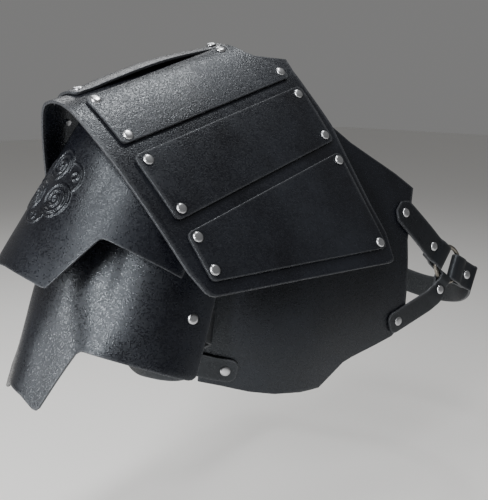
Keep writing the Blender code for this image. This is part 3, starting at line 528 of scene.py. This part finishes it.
# The panels on the back and the chest. Folds are runs down the panel, as shares of its height, with their
# slope in degrees, and the outline is in shares of the width and the height.
panels = {
    "width": 0.252,
    "height": 0.280,
    "gap": 0.0017,  # under the shell
    "bendRadius": 0.190,
    "top": 0.16,  # what is tucked above its start, as a share of the height
    "bend": 0.16,  # where it starts to bend round the side, as a share of the width
    "rowStep": 0.004,
    "columns": 70,
    "waves": {"height": 0.0005, "sines": [(38.0, 21.0, 0.0, 1.0)], "grow": (0.06, 0.14)},
    "back": {"sign": 1.0, "arc": 0.485 * backLength, "heading": -55.0},
    "front": {"sign": -1.0, "arc": -0.300 * frontLength, "heading": 72.0},
    "inward": 0.978,
    "folds": [
        (0.180, 66.0), (0.140, 70.0), (0.107, 75.0), (0.107, 80.0), (0.107, 85.0), (0.107, 91.0),
        (0.252, 97.0),
    ],
    "outline": [
        (-0.012, -0.010), (-0.090, 0.060), (-0.175, 0.115), (-0.283, 0.183), (-0.361, 0.240), (-0.337, 0.285),
        (-0.278, 0.418), (-0.246, 0.614), (-0.234, 0.700), (-0.175, 0.743), (-0.079, 0.763), (0.028, 0.782),
        (0.071, 0.793), (0.183, 0.860), (0.254, 0.861), (0.365, 0.850), (0.460, 0.832), (0.563, 0.805),
        (0.643, 0.789), (0.636, 0.680), (0.600, 0.530), (0.500, 0.350), (0.360, 0.180), (0.240, 0.000),
        (0.190, -0.070), (0.010, -0.070),
    ],
}


# Start, level and away directions and fold line of one panel, measured from the shell's inner face
def panelOf(side):
    row = panels[side]
    heading = math.radians(row["heading"])
    normal = -math.sin(heading) * across + math.cos(heading) * over
    inward = np.array(panels["inward"] * shell["length"])
    spot = shellPlace(inward, np.array(row["arc"]), -leather["thickness"])
    level = unit(np.cross(normal, up))
    level = level if level[0] > 0.0 else -level
    away = np.cross(up, level)
    away = away if away[1] * row["sign"] > 0.0 else -away
    steep = math.degrees(math.acos(normal @ up))
    rows = [(share * panels["height"], -max(angle, steep)) for share, angle in panels["folds"]]
    line = bentLine(rows, [(panels["top"] * panels["height"], -steep)])
    return {"start": spot - panels["gap"] * normal, "level": level, "away": away, "line": line}


# Along the level up to the bend and then round its radius, down the fold line, plus the height off the face
def panelPlace(panel, outward, drop, height):
    baseX, baseY = linePlace(panel["line"], drop, 0.0 * height)
    farX, farY = linePlace(panel["line"], drop, height)
    start, radius = panels["bend"] * panels["width"], panels["bendRadius"]
    angle = np.maximum(outward - start, 0.0) / radius
    along = np.minimum(outward, start) + radius * np.sin(angle)
    inward = radius * (1.0 - np.cos(angle))
    bent = np.sin(angle)[..., None] * panel["level"] + np.cos(angle)[..., None] * panel["away"]
    spot = panel["start"] + along[..., None] * panel["level"] + (baseX - inward)[..., None] * panel["away"]
    return spot + farY[..., None] * up + (farX - baseX)[..., None] * bent


panelMade = {side: panelOf(side) for side in ("back", "front")}


def buildPanels():
    outline = [(x * panels["width"], y * panels["height"]) for x, y in panels["outline"]]
    for side, panel in panelMade.items():

        def place(x, y, height):
            return panelPlace(panel, x, y, height + 0.0 * x)

        def sag(x, y):
            return slowWaves(panels["waves"], x, y)

        leatherSheet(
            f"{side}_panel", outline, place, "black_leather", panels["rowStep"], panels["columns"], relief=sag
        )


buildPanels()
print("panels laid")

# The plates round the arm. Each section is a round of short runs that turns tighter at the front. A tuck
# is its depth, how far it reaches down, and where round the arm it starts and is full. Outlines are in
# shares of half the length round the arm and of the height. Fine rows carry the ornament.
armLine = {"turnStep": 11.0, "backRuns": 13, "frontRuns": 15}
upperLame = {
    "axis": (-0.0006, 0.0221, -0.090), "lean": 32.6, "turn": -0.2, "radius": 0.0889, "frontRadius": 0.034,
    "frontStart": -20.0, "flare": 2.2, "halfLength": 0.138, "height": 0.142, "centre": 0.0,
    "backTuck": (0.010, 0.090, 0.010, 0.050), "frontTuck": (0.017, 0.110, 0.030, 0.060),
    "rowStep": 0.003, "columns": 210, "fineRows": (-0.036, 0.036, 0.0006),
    "waves": {"height": 0.00045, "sines": [(47.0, 29.0, 0.0, 1.0)], "grow": (0.03, 0.09)},
    "outline": [
        (0.000, 0.930), (0.240, 0.938), (0.345, 0.941), (0.368, 0.935), (0.500, 0.588), (0.517, 0.577),
        (0.545, 0.573), (1.000, 0.573), (1.000, 0.330), (0.860, 0.330), (0.700, 0.300), (0.570, 0.220),
        (0.430, 0.100), (0.290, 0.010), (0.140, -0.050), (0.000, -0.060), (-0.140, -0.050), (-0.290, 0.120),
        (-0.360, 0.200), (-0.600, 0.420), (-0.735, 0.566), (-0.735, 0.573), (-0.545, 0.573), (-0.517, 0.577),
        (-0.500, 0.588), (-0.368, 0.935), (-0.345, 0.941), (-0.240, 0.938),
    ],
}
lowerLame = {
    "axis": (0.0108, 0.0123, -0.180), "lean": 23.9, "turn": 7.4, "radius": 0.0997, "frontRadius": 0.046,
    "frontStart": -33.0, "flare": -2.5, "halfLength": 0.174, "height": 0.165, "centre": -0.024,
    "backTuck": (0.010, 0.070, 0.020, 0.060), "frontTuck": (0.028, 0.110, 0.045, 0.085),
    "rowStep": 0.003, "columns": 64,
    "outline": [
        (0.000, 0.735), (0.130, 0.755), (0.235, 0.790), (0.262, 0.790), (0.280, 0.772), (0.400, 0.475),
        (0.420, 0.456), (0.440, 0.452), (0.960, 0.446), (0.980, 0.440), (0.995, 0.425), (1.000, 0.404),
        (1.000, -0.060), (0.600, -0.140), (0.300, -0.150), (0.000, -0.150), (-0.120, -0.130), (-0.280, 0.030),
        (-0.440, 0.120), (-0.580, 0.180), (-0.580, 0.430), (-0.560, 0.450), (-0.440, 0.452), (-0.420, 0.456),
        (-0.400, 0.475), (-0.280, 0.772), (-0.262, 0.790), (-0.235, 0.790), (-0.130, 0.755),
    ],
}


# Directions and section line of a plate. A run is its radius times twice the tangent of half its turn.
def armPlateOf(sizes):
    lean, turned = math.radians(sizes["lean"]), math.radians(sizes["turn"])
    level = np.array([math.cos(turned), math.sin(turned), 0.0])
    step = armLine["turnStep"]
    chord = 2.0 * math.tan(math.radians(step / 2.0))
    back = [(sizes["radius"] * chord, 90.0 + step * (index + 0.5)) for index in range(armLine["backRuns"])]
    front = []
    for index in range(armLine["frontRuns"]):
        radius = sizes["radius"] if -step * index > sizes["frontStart"] else sizes["frontRadius"]
        front.append((radius * chord, 90.0 - step * (index + 0.5)))
    return {
        "sizes": sizes,
        "down": math.sin(lean) * level - math.cos(lean) * up,
        "out": math.cos(lean) * level + math.sin(lean) * up,
        "side": np.array([-math.sin(turned), math.cos(turned), 0.0]),
        "line": bentLine(back, front),
    }


# Down the axis by the drop, out by the section scaled with the flare, less the tuck at the plate's top
def armPlace(plate, around, drop, height):
    sizes = plate["sizes"]
    flatX, flatY = linePlace(plate["line"], around, -height)
    tuck = 0.0 * around
    for key, distance in (("backTuck", around), ("frontTuck", -around)):
        depth, tall, start, full = sizes[key]
        share = np.clip((distance - start) / (full - start), 0.0, 1.0)
        tuck = np.maximum(tuck, depth * share * (1.0 - drop / tall))
    scale = 1.0 + (math.tan(math.radians(sizes["flare"])) * drop - tuck) / sizes["radius"]
    outward, sideways = scale * (sizes["radius"] + flatX), scale * flatY
    ring = outward[..., None] * plate["out"] + sideways[..., None] * plate["side"]
    return np.array(sizes["axis"]) + drop[..., None] * plate["down"] + ring


upperPlate, lowerPlate = armPlateOf(upperLame), armPlateOf(lowerLame)

# The embossed ornament: three joined spirals, with a small ring and a curved filler between each pair
ornament = {
    "centre": (-0.0005, 0.060),
    "height": 0.00110,
    "reach": 0.0184,  # from the middle to each spiral's own
    "spiral": 0.0150,
    "spiralRim": (-0.0004, 0.0006),  # where its height fades, about that radius
    "pitch": 0.0049,
    "groove": (-0.70, 0.30),  # cosines between which a ridge climbs
    "ringReach": 0.0268,
    "ring": 0.0031,
    "line": 0.0009,
    "filler": 0.0330,
    "fillerBow": 0.0045,
    "fillerHalf": 26.0,
    "fillerFade": 5.0,
}


# Height over the plate, the highest of these: inside each spiral a ridge with a narrow groove where the
# cosine of distance over pitch less turn is lowest, and a bell curve of the distance to each small ring and
# to each filler's bowed arc
def ornamentRelief(around, drop):
    x, y = around - ornament["centre"][0], drop - ornament["centre"][1]
    height = 0.0 * x
    line, fillerHalf = ornament["line"], ornament["fillerHalf"]
    rimIn, rimOut = (ornament["spiral"] + change for change in ornament["spiralRim"])
    for index in range(3):
        direction = math.radians(-90.0 + 120.0 * index)
        dx = x - ornament["reach"] * math.cos(direction)
        dy = y - ornament["reach"] * math.sin(direction)
        distance = np.hypot(dx, dy)
        winding = distance / ornament["pitch"] - (np.arctan2(dy, dx) - direction) / (2.0 * math.pi)
        ridgeShape = smoothStep(*ornament["groove"], np.cos(2.0 * math.pi * winding))
        height = np.maximum(height, ridgeShape * (1.0 - smoothStep(rimIn, rimOut, distance)))
        direction += math.radians(60.0)
        dx = x - ornament["ringReach"] * math.cos(direction)
        dy = y - ornament["ringReach"] * math.sin(direction)
        height = np.maximum(height, np.exp(-((np.hypot(dx, dy) - ornament["ring"]) / line) ** 2))
        swing = np.degrees(np.abs(np.angle(np.exp(1j * (np.arctan2(y, x) - direction)))))
        bow = ornament["filler"] - ornament["fillerBow"] * (swing / fillerHalf) ** 2
        arc = np.exp(-((np.hypot(x, y) - bow) / line) ** 2)
        arc = arc * (1.0 - smoothStep(fillerHalf, fillerHalf + ornament["fillerFade"], swing))
        height = np.maximum(height, arc)
    return ornament["height"] * height


def upperRelief(around, drop):
    return ornamentRelief(around, drop) + slowWaves(upperLame["waves"], around, drop)


folds = {
    "height": 0.0015,
    "length": 0.070,
    "slant": 6.0,
    "phase": 0.9,
    "grow": (0.040, 0.090),
    "side": (-0.07, -0.03),
}


# Soft upright folds of the lower plate: a cosine round the arm that grows down the plate and to its back
def lowerRelief(around, drop):
    wave = np.cos(2.0 * math.pi * around / folds["length"] + folds["phase"] + folds["slant"] * drop)
    return folds["height"] * wave * smoothStep(*folds["grow"], drop) * smoothStep(*folds["side"], around)


def buildArmPlates():
    for node, plate, relief in (
        ("upper_lame", upperPlate, upperRelief),
        ("lower_lame", lowerPlate, lowerRelief),
    ):
        sizes = plate["sizes"]
        middle, half, tall = sizes["centre"], sizes["halfLength"], sizes["height"]
        outline = [(middle + x * half, y * tall) for x, y in sizes["outline"]]

        def place(x, y, height):
            return armPlace(plate, x, y, height)

        fineRows = np.arange(*sizes["fineRows"]) if "fineRows" in sizes else ()
        leatherSheet(
            node, outline, place, "black_leather", sizes["rowStep"], sizes["columns"], True, relief, fineRows
        )


buildArmPlates()
print("arm plates laid")

# The rings and what all straps share, metres
straps = {
    "width": 0.026,
    "narrow": 0.020,
    "corner": 0.0075,
    "ringRadius": 0.018,
    "wire": 0.0021,
    "ringSteps": 96,
    "wireSteps": 20,
    "ringPlace": (-0.496 * panels["width"], 0.527 * panels["height"]),
    "flatNear": 0.032,  # up to here from the ring a strap lies in the ring's plane
    "flatFar": 0.046,  # from here on it lies on the panel
    "closing": 0.0056,  # from the loop's start to the rivet that closes it
    "tail": 0.0092,
    "lastTails": 1.5,  # straight run before the loop, in tails
    "pastRing": 3.0,  # how far the route goes on, in ring radii
    "loopRun": 0.00576,
    "loopBend": 0.0030,
    "routeBend": 0.026,
    "step": 0.0025,
    "probe": 0.0005,  # step for measuring a surface's normal
}


# Each corner of a node's mesh once
def uniquePoints(node):
    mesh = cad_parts[node].data
    values = np.zeros(len(mesh.vertices) * 3, np.float32)
    mesh.vertices.foreach_get("co", values)
    return np.unique(np.round(values.reshape(-1, 3).astype(float), 6), axis=0)


# Middle, and the axis about which the points are evenly spread: the odd one of their three spreads
def axisOf(points):
    middle = points.mean(axis=0)
    spreads, axes = np.linalg.eigh(np.cov((points - middle).T))
    odd = 0 if spreads[1] - spreads[0] > spreads[2] - spreads[1] else 2
    return middle, axes[:, odd]


# Spot on a surface with its outward normal, from small steps along and across it
def surfaceFrame(place, u, v, height):
    step = straps["probe"]
    u, v, height = np.array(float(u)), np.array(float(v)), np.array(float(height))
    spot = place(u, v, height)
    along = place(u + step, v, height) - place(u - step, v, height)
    aside = place(u, v + step, height) - place(u, v - step, height)
    normal = unit(np.cross(along, aside))
    raised = place(u, v, height + step) - spot
    return spot, normal if normal @ raised > 0.0 else -normal


# A ring's middle and directions, read from its CAD node
def ringOf(side):
    middle, normal = axisOf(uniquePoints(f"ring_{side}"))
    panel = panelMade[side]
    normal = normal if normal @ panel["away"] > 0.0 else -normal
    down = unit(np.cross(panel["level"], normal))
    return {"panel": panel, "centre": middle, "normal": normal, "down": down if down[2] < 0.0 else -down}


# The panel's surface far from the ring, the ring's own plane near it, mixed by the distance
def ringPlace(ring, outward, drop, height):
    panel = ring["panel"]
    x, y = outward - straps["ringPlace"][0], drop - straps["ringPlace"][1]
    above = height - leather["strapGap"] + leather["gap"] / 2.0
    flat = ring["centre"] + x[..., None] * panel["level"] + y[..., None] * ring["down"]
    flat = flat + above[..., None] * ring["normal"]
    near, far = straps["flatNear"], straps["flatFar"]
    share = np.clip((np.hypot(x, y) - near) / (far - near), 0.0, 1.0)
    return flat + share[..., None] * (panelPlace(panel, outward, drop, height) - flat)


rings = {side: ringOf(side) for side in ("back", "front")}


# Inner face of a looped strap: straight, up over the wire, half round it in three turns of 45 degrees, and
# back under itself. The strap reaches past the wire by what a flat end needs across the round ring: the
# radius times one less the angle's cosine, and the wire times its inverse less one.
def loopLine(reach, halfWidth):
    bend = straps["wire"] + leather["gap"]
    corner = bend * math.tan(math.radians(22.5))
    climb = bend - leather["gap"] / 2.0
    rise = math.degrees(math.atan2(climb, 2.0 * bend))
    angle = math.asin(halfWidth / straps["ringRadius"])
    spread = straps["ringRadius"] * (1.0 - math.cos(angle)) + straps["wire"] * (1.0 / math.cos(angle) - 1.0)
    level = straps["loopRun"] - 2.0 * bend + spread + 2.0 * leather["gap"] + corner
    ramp = math.hypot(climb, 2.0 * bend)
    rows = [(reach, 0.0), (ramp, rise), (level, 0.0)]
    rows += [(2.0 * corner, -45.0), (2.0 * corner, -90.0), (2.0 * corner, -135.0)]
    rows += [(level, -180.0), (ramp, -180.0 - rise), (straps["tail"], -180.0)]
    return bentLine(rows, widest=straps["loopBend"])


# A strap with a clipped or rounded start, narrower at its end
def strapOutline(length, startHalf, endHalf, clipped, taper):
    corner = straps["corner"]
    steps = 1 if clipped else 6
    angles = [math.pi / 2.0 * index / steps for index in range(steps + 1)]
    rounded = [(corner * (1.0 - math.sin(a)), startHalf - corner * (1.0 - math.cos(a))) for a in angles]
    side = rounded[::-1] + [(taper[0], startHalf), (taper[1], endHalf), (length, endHalf)]
    return side + [(x, -y) for x, y in side[::-1]]


# A smooth route through its points: a cubic whose slope at each point is half the step between the points
# on both sides, with straight ends. Its sides are the outward direction crossed with the way, and its
# normals the way crossed with the sides.
def bandOf(route):
    points, outs = (np.array(values) for values in zip(*route))
    spots, normals = [], []
    for index in range(len(points) - 1):
        before, first = points[max(index - 1, 0)], points[index]
        second, after = points[index + 1], points[min(index + 2, len(points) - 1)]
        count = max(int(np.linalg.norm(second - first) / straps["step"]), 2)
        t = (np.arange(count) / count)[:, None]
        if 0 < index < len(points) - 2:
            square = 2.0 * before - 5.0 * first + 4.0 * second - after
            cube = 3.0 * first - before - 3.0 * second + after
            spot = 0.5 * (2.0 * first + (second - before) * t + square * t ** 2 + cube * t ** 3)
        else:
            spot = first + (second - first) * t
        spots.append(spot)
        normals.append(unit(outs[index] + (outs[index + 1] - outs[index]) * t))
    spots = np.concatenate(spots + [points[-1:]])
    outward = np.concatenate(normals + [outs[-1:]])
    stations = np.concatenate(([0.0], np.cumsum(np.linalg.norm(np.diff(spots, axis=0), axis=1))))
    way = unit(np.gradient(spots, stations, axis=0))
    sides = unit(np.cross(outward, way))
    return {"stations": stations, "spots": spots, "sides": sides, "normals": unit(np.cross(way, sides))}


# The route's point, plus aside times its side and height times its normal
def bandPlace(band, along, aside, height):
    def read(values):
        return np.stack([np.interp(along, band["stations"], values[:, axis]) for axis in range(3)], axis=-1)

    spot = read(band["spots"]) + aside[..., None] * read(band["sides"])
    return spot + height[..., None] * read(band["normals"])


# Gives the strap's place function, its length, its reach to the loop and where it tapers. The strap runs
# from its start to a point short of the ring, and on to the ring and past it on its own heading.
def ringStrapPlace(row, ring):
    heading = math.radians(row["heading"])
    ahead = np.array([math.cos(heading), math.sin(heading)])
    last = straps["lastTails"] * straps["tail"]
    start = np.array(row["start"])
    lead = np.array(straps["ringPlace"]) - (straps["ringRadius"] + straps["loopRun"] + last) * ahead - start
    run = float(np.hypot(*lead))
    firstWay = math.degrees(math.atan2(lead[1], lead[0])) % 360.0
    pastRing = last + straps["pastRing"] * straps["ringRadius"]
    route = bentLine([(run, firstWay), (pastRing, row["heading"])], widest=straps["routeBend"])
    reach = run + last
    section = loopLine(reach, row["loopHalf"])
    thickness = leather["thickness"]

    def place(x, y, height):
        bentX, bentY = linePlace(section, x, height + thickness)
        spotX, spotY = linePlace(route, bentX, y)
        return ringPlace(ring, start[0] + spotX, start[1] + spotY, leather["strapGap"] + bentY)

    return place, section[0][-1], reach, (run, reach)


# The straps from a panel to its ring, with starts and headings on the panel's own level and drop
ringStraps = [
    {
        "name": "upper", "start": (-0.254 * panels["width"], 0.2965 * panels["height"]), "heading": 136.0,
        "half": 0.013, "loopHalf": 0.013, "clipped": True,
    },
    {
        "name": "lower", "start": (-0.151 * panels["width"], 0.700 * panels["height"]), "heading": 233.0,
        "half": 0.010, "loopHalf": 0.0065, "clipped": False,
    },
]
ringStrapGrid = {"rowStep": 0.0012, "columns": 12}

# The chest strap leaves each ring straight, then goes round the body. Its route is given for the back, as
# points with their outward directions, and mirrored about the middle for the front.
chest = {
    "heading": 150.0,
    "straight": (0.0, 0.0357, 0.042),  # distances from the ring that are on its heading
    "middle": 0.022,
    "rowStep": 0.0016,
    "columns": 14,
    "route": [
        ((-0.327, 0.091, -0.228), (-0.70, 0.71, -0.05)),
        ((-0.343, 0.061, -0.240), (-0.93, 0.36, -0.03)),
        ((-0.348, 0.022, -0.245), (-1.00, 0.00, 0.00)),
    ],
}

# A domed rivet. The dome is in shares of the cap's radius and height.
rivet = {
    "cap": 0.0046,
    "capHeight": 0.0022,
    "sides": 28,
    "post": 0.0013,
    "base": 0.0024,
    "baseHeight": 0.0008,
    "baseGap": 0.0006,
    "wide": 0.8,  # what counts as the cap, as a share of its radius
    "dome": [
        (0.000, 1.00), (0.30, 0.992), (0.50, 0.96), (0.66, 0.90), (0.79, 0.78), (0.89, 0.60), (0.96, 0.42),
        (0.99, 0.30), (1.00, 0.20), (0.97, 0.14),
    ],
}


# A turned piece: radius times cosine and sine of the turn, height along the axis, for each profile point
def turnedPiece(name, profile, seat, axis, look, node=None):
    aside = unit(np.cross(axis, np.array([0.31, 0.17, 0.93])))
    third = np.cross(axis, aside)
    turns = np.linspace(0.0, 2.0 * math.pi, rivet["sides"], endpoint=False)
    radius, height = np.array(profile[1:-1]).T
    ring = np.cos(turns)[:, None] * aside + np.sin(turns)[:, None] * third
    wall = seat + radius[:, None, None] * ring + height[:, None, None] * axis
    rows, count = len(radius), rivet["sides"]
    index = np.arange(rows * count).reshape(rows, count)
    after = np.roll(index, -1, axis=1)
    walls = np.stack((index[:-1], index[1:], after[1:], after[:-1]), axis=-1).reshape(-1, 4)
    top, bottom = rows * count, rows * count + 1
    lid = np.stack((np.full(count, top), index[0], after[0]), axis=-1)
    foot = np.stack((np.full(count, bottom), after[-1], index[-1]), axis=-1)
    ends = np.stack((seat + profile[0][1] * axis, seat + profile[-1][1] * axis))
    points = np.concatenate((wall.reshape(-1, 3), ends))
    makePiece(name, points, (walls, lid, foot), look, node)


# Dome, its rim, the post through the leather and the base behind it
def rivetProfile(grip):
    profile = [(share * rivet["cap"], level * rivet["capHeight"]) for share, level in rivet["dome"]]
    under = -grip - rivet["baseGap"]
    foot = under - rivet["baseHeight"]
    post, base = rivet["post"], rivet["base"]
    return profile + [(post, profile[-1][1]), (post, under), (base, under), (base, foot), (0.0, foot)]


# Each rivet is read from its CAD node: its wide end is the cap, and its length gives the grip
def buildRivets():
    for node in sorted(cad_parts):
        if not node.startswith("rivet_"):
            continue
        points = uniquePoints(node)
        middle, axis = axisOf(points)
        along = (points - middle) @ axis
        wide = np.linalg.norm(points - middle - along[:, None] * axis, axis=1) > rivet["wide"] * rivet["cap"]
        if along[wide].mean() < (along.max() + along.min()) / 2.0:
            axis, along = -axis, -along
        seat = middle + (along.max() - rivet["capHeight"]) * axis
        grip = along.max() - along.min() - rivet["capHeight"] - rivet["baseGap"] - rivet["baseHeight"]
        turnedPiece(node + "_turned", rivetProfile(grip), seat, axis, "polished_rivet", node)


# A round wire: the ring's radius plus the wire's cosine outward, the wire's sine along the axis
def buildRings():
    turnCount, roundCount = straps["ringSteps"], straps["wireSteps"]
    turns = np.linspace(0.0, 2.0 * math.pi, turnCount, endpoint=False)[:, None]
    rounds = np.linspace(0.0, 2.0 * math.pi, roundCount, endpoint=False)
    distance = straps["ringRadius"] + straps["wire"] * np.cos(rounds)
    height = straps["wire"] * np.sin(rounds)
    index = np.arange(turnCount * roundCount).reshape(turnCount, roundCount)
    after = np.roll(index, -1, 0)
    corners = (index, after, np.roll(after, -1, 1), np.roll(index, -1, 1))
    faces = np.stack(corners, axis=-1).reshape(-1, 4)
    for side, ring in rings.items():
        normal = ring["normal"]
        out = np.cos(turns) * ring["down"] + np.sin(turns) * np.cross(normal, ring["down"])
        points = ring["centre"] + distance[None, :, None] * out[:, None, :] + height[None, :, None] * normal
        makePiece(f"ring_{side}_wire", points, [faces], "ring_metal", f"ring_{side}")


# A rivet that closes a loop, through both runs of the strap
def extraRivet(name, place, along):
    spot, normal = surfaceFrame(place, along, 0.0, 0.0)
    grip = 2.0 * leather["thickness"] + leather["gap"]
    turnedPiece(name, rivetProfile(grip), spot, normal, "polished_rivet")


def buildRingStraps():
    for side, ring in rings.items():
        for row in ringStraps:
            place, length, reach, taper = ringStrapPlace(row, ring)
            outline = strapOutline(length, row["half"], row["loopHalf"], row["clipped"], taper)
            node = f"ring_strap_{side}_{row['name']}"
            leatherSheet(node, outline, place, "strap_leather", turned=True, **ringStrapGrid)
            if side == "front":
                extraRivet(f"{node}_loop_rivet", place, reach - straps["closing"])


# Half the strap is one loop line, from the middle to a ring, and the other half its mirror image
def buildChestStrap():
    heading = math.radians(chest["heading"])
    flip = np.array([1.0, -1.0, 1.0])
    shift = np.array([0.0, 2.0 * chest["middle"], 0.0])
    parts = []
    for side, ring in rings.items():
        way = math.cos(heading) * ring["panel"]["level"] + math.sin(heading) * ring["down"]
        spot = ring["centre"] + leather["gap"] / 2.0 * ring["normal"]
        part = [(spot + reach * way, ring["normal"]) for reach in chest["straight"]]
        for point, out in chest["route"][:-1]:
            part.append((point * flip + shift, out * flip) if side == "front" else (point, out))
        parts.append(part)
    band = bandOf(parts[0] + chest["route"][-1:] + parts[1][::-1])
    total = band["stations"][-1]
    half = straps["width"] / 2.0
    reach = total / 2.0 - straps["ringRadius"] - straps["loopRun"]
    section = loopLine(reach, half)
    length = section[0][-1]

    def place(x, y, height):
        bentX, bentY = linePlace(section, np.abs(x), height + leather["thickness"])
        return bandPlace(band, total / 2.0 + np.sign(x) * bentX, y, bentY)

    outline = [(-length, -half), (length, -half), (length, half), (-length, half)]
    leatherSheet("chest_strap", outline, place, "strap_leather", chest["rowStep"], chest["columns"], True)
    extraRivet("chest_strap_front_rivet", place, reach - straps["closing"])


bandGrid = {"rowStep": 0.002, "columns": 14}


# A strap with rounded ends that follows a route
def buildBand(node, route, width):
    band = bandOf(route)
    length, half = band["stations"][-1], width / 2.0
    outline = roundCorners([(0.0, -half), (length, -half), (length, half), (0.0, half)], straps["corner"])

    def place(x, y, height):
        return bandPlace(band, x, y, height + leather["thickness"])

    leatherSheet(node, outline, place, "strap_leather", turned=True, **bandGrid)


# The strap under the arm: ends in shares of a panel's width and height, and a route of points between
underarm = {
    "ends": [(0.512, 0.757), (0.587, 0.743), (0.663, 0.7285)],
    "route": [
        ((0.018, 0.058, -0.254), (0.85, 0.53, 0.00)),
        ((0.028, 0.034, -0.257), (0.98, 0.20, 0.00)),
        ((0.033, 0.008, -0.256), (1.00, 0.00, 0.00)),
    ],
}

# The strap behind the arm: ends round and down the lower plate in metres, and a route between them
armStrap = {
    "back": [(0.116, 0.027), (0.136, 0.027), (0.149, 0.028)],
    "front": [(-0.116, 0.030), (-0.100, 0.030)],
    "slack": 0.0030,
    "route": [
        ((0.006, 0.092, -0.212), (-0.75, 0.66, 0.00)),
        ((0.014, 0.068, -0.222), (-0.95, 0.30, 0.00)),
        ((0.026, 0.040, -0.226), (-0.94, 0.34, 0.00)),
        ((0.034, 0.010, -0.226), (-0.96, 0.26, 0.00)),
        ((0.048, -0.022, -0.214), (-0.80, -0.60, 0.00)),
    ],
}


# Both lie on their surfaces at their ends, a gap away from them
def buildOtherStraps():
    gap = leather["strapGap"]
    ends = {}
    for side, panel in panelMade.items():

        def face(x, y, height):
            return panelPlace(panel, x, y, height)

        spots = [(x * panels["width"], y * panels["height"]) for x, y in underarm["ends"]]
        frames = [surfaceFrame(face, x, y, 0.0) for x, y in spots]
        ends[side] = [(spot + gap * normal, normal) for spot, normal in frames]
    buildBand("underarm_strap", ends["back"] + underarm["route"] + ends["front"][::-1], straps["narrow"])

    def lowerFace(x, y, height):
        return armPlace(lowerPlate, x, y, height)

    under = 2.0 * leather["thickness"] + gap
    back = [surfaceFrame(lowerFace, x, y, -under) for x, y in armStrap["back"]]
    front = [surfaceFrame(lowerFace, x, y, -under - armStrap["slack"]) for x, y in armStrap["front"]]
    buildBand("arm_strap", back + armStrap["route"] + front, straps["width"])


buildRings()
buildRingStraps()
buildChestStrap()
buildOtherStraps()
buildRivets()
print("rings, straps and rivets made")

# Floor, light and camera. Places are metres, lamp sizes metres and powers watts.
stage = {
    "floor": -0.46,
    "size": 12.0,
    "colour": (0.90, 0.89, 0.87, 1.0),
    "roughness": 0.8,
    "skyColour": (1.0, 0.995, 0.985, 1.0),
    "sky": 0.20,
}
lamps = [
    {"name": "overhead_softbox", "place": (0.78, 0.30, 0.98), "size": (0.50, 0.50), "power": 9.0},
    {"name": "arm_back_strip", "place": (1.02, 0.60, 0.28), "size": (0.16, 0.50), "power": 14.0},
    {"name": "arm_front_strip", "place": (1.18, -0.30, 0.02), "size": (0.09, 0.50), "power": 7.5},
    {"name": "ridge_softbox", "place": (-0.36, 0.00, 1.00), "size": (0.30, 0.22), "power": 6.5},
    {"name": "far_rim_softbox", "place": (-0.32, -0.95, 0.90), "size": (0.70, 0.50), "power": 5.0},
]
lampAim = (0.04, 0.04, -0.12)
view = {
    "place": (0.34085, 0.59425, -0.0162),
    "azimuth": 143.6,
    "down": 12.0,
    "lens": 54.72,  # millimetres, as the sensor
    "sensor": 36.0,
    "near": 0.01,
}


def buildStage():
    half = stage["size"] / 2.0
    mesh = bpy.data.meshes.new("floor")
    corners = [(-half, -half), (half, -half), (half, half), (-half, half)]
    mesh.from_pydata([(x, y, stage["floor"]) for x, y in corners], [], [(0, 1, 2, 3)])
    material, tree, shader = newMaterial("floor_paint")
    shader.inputs["Base Color"].default_value = stage["colour"]
    shader.inputs["Roughness"].default_value = stage["roughness"]
    mesh.materials.append(material)
    floor = bpy.data.objects.new("floor", mesh)
    bpy.context.scene.collection.objects.link(floor)
    world = bpy.data.worlds.new("soft_room")
    world.use_nodes = True
    sky = world.node_tree.nodes["Background"]
    sky.inputs["Color"].default_value = stage["skyColour"]
    sky.inputs["Strength"].default_value = stage["sky"]
    bpy.context.scene.world = world


def buildLamps():
    for lamp in lamps:
        data = bpy.data.lights.new(lamp["name"], "AREA")
        data.shape = "RECTANGLE"
        data.size, data.size_y = lamp["size"]
        data.energy = lamp["power"]
        light = bpy.data.objects.new(lamp["name"], data)
        light.location = lamp["place"]
        aim = Vector(lampAim) - Vector(lamp["place"])
        light.rotation_euler = aim.to_track_quat("-Z", "Y").to_euler()
        bpy.context.scene.collection.objects.link(light)


# The view's way: cosine of down times minus sine and cosine of the azimuth, and minus the sine of down
def buildCamera():
    azimuth, down = math.radians(view["azimuth"]), math.radians(view["down"])
    data = bpy.data.cameras.new("camera")
    data.lens = view["lens"]
    data.sensor_width = view["sensor"]
    data.clip_start = view["near"]
    camera = bpy.data.objects.new("camera", data)
    camera.location = view["place"]
    way = Vector((-math.cos(down) * math.sin(azimuth), math.cos(down) * math.cos(azimuth), -math.sin(down)))
    camera.rotation_euler = way.to_track_quat("-Z", "Y").to_euler()
    bpy.context.scene.collection.objects.link(camera)
    bpy.context.scene.camera = camera


buildStage()
buildLamps()
buildCamera()
print("stage set")
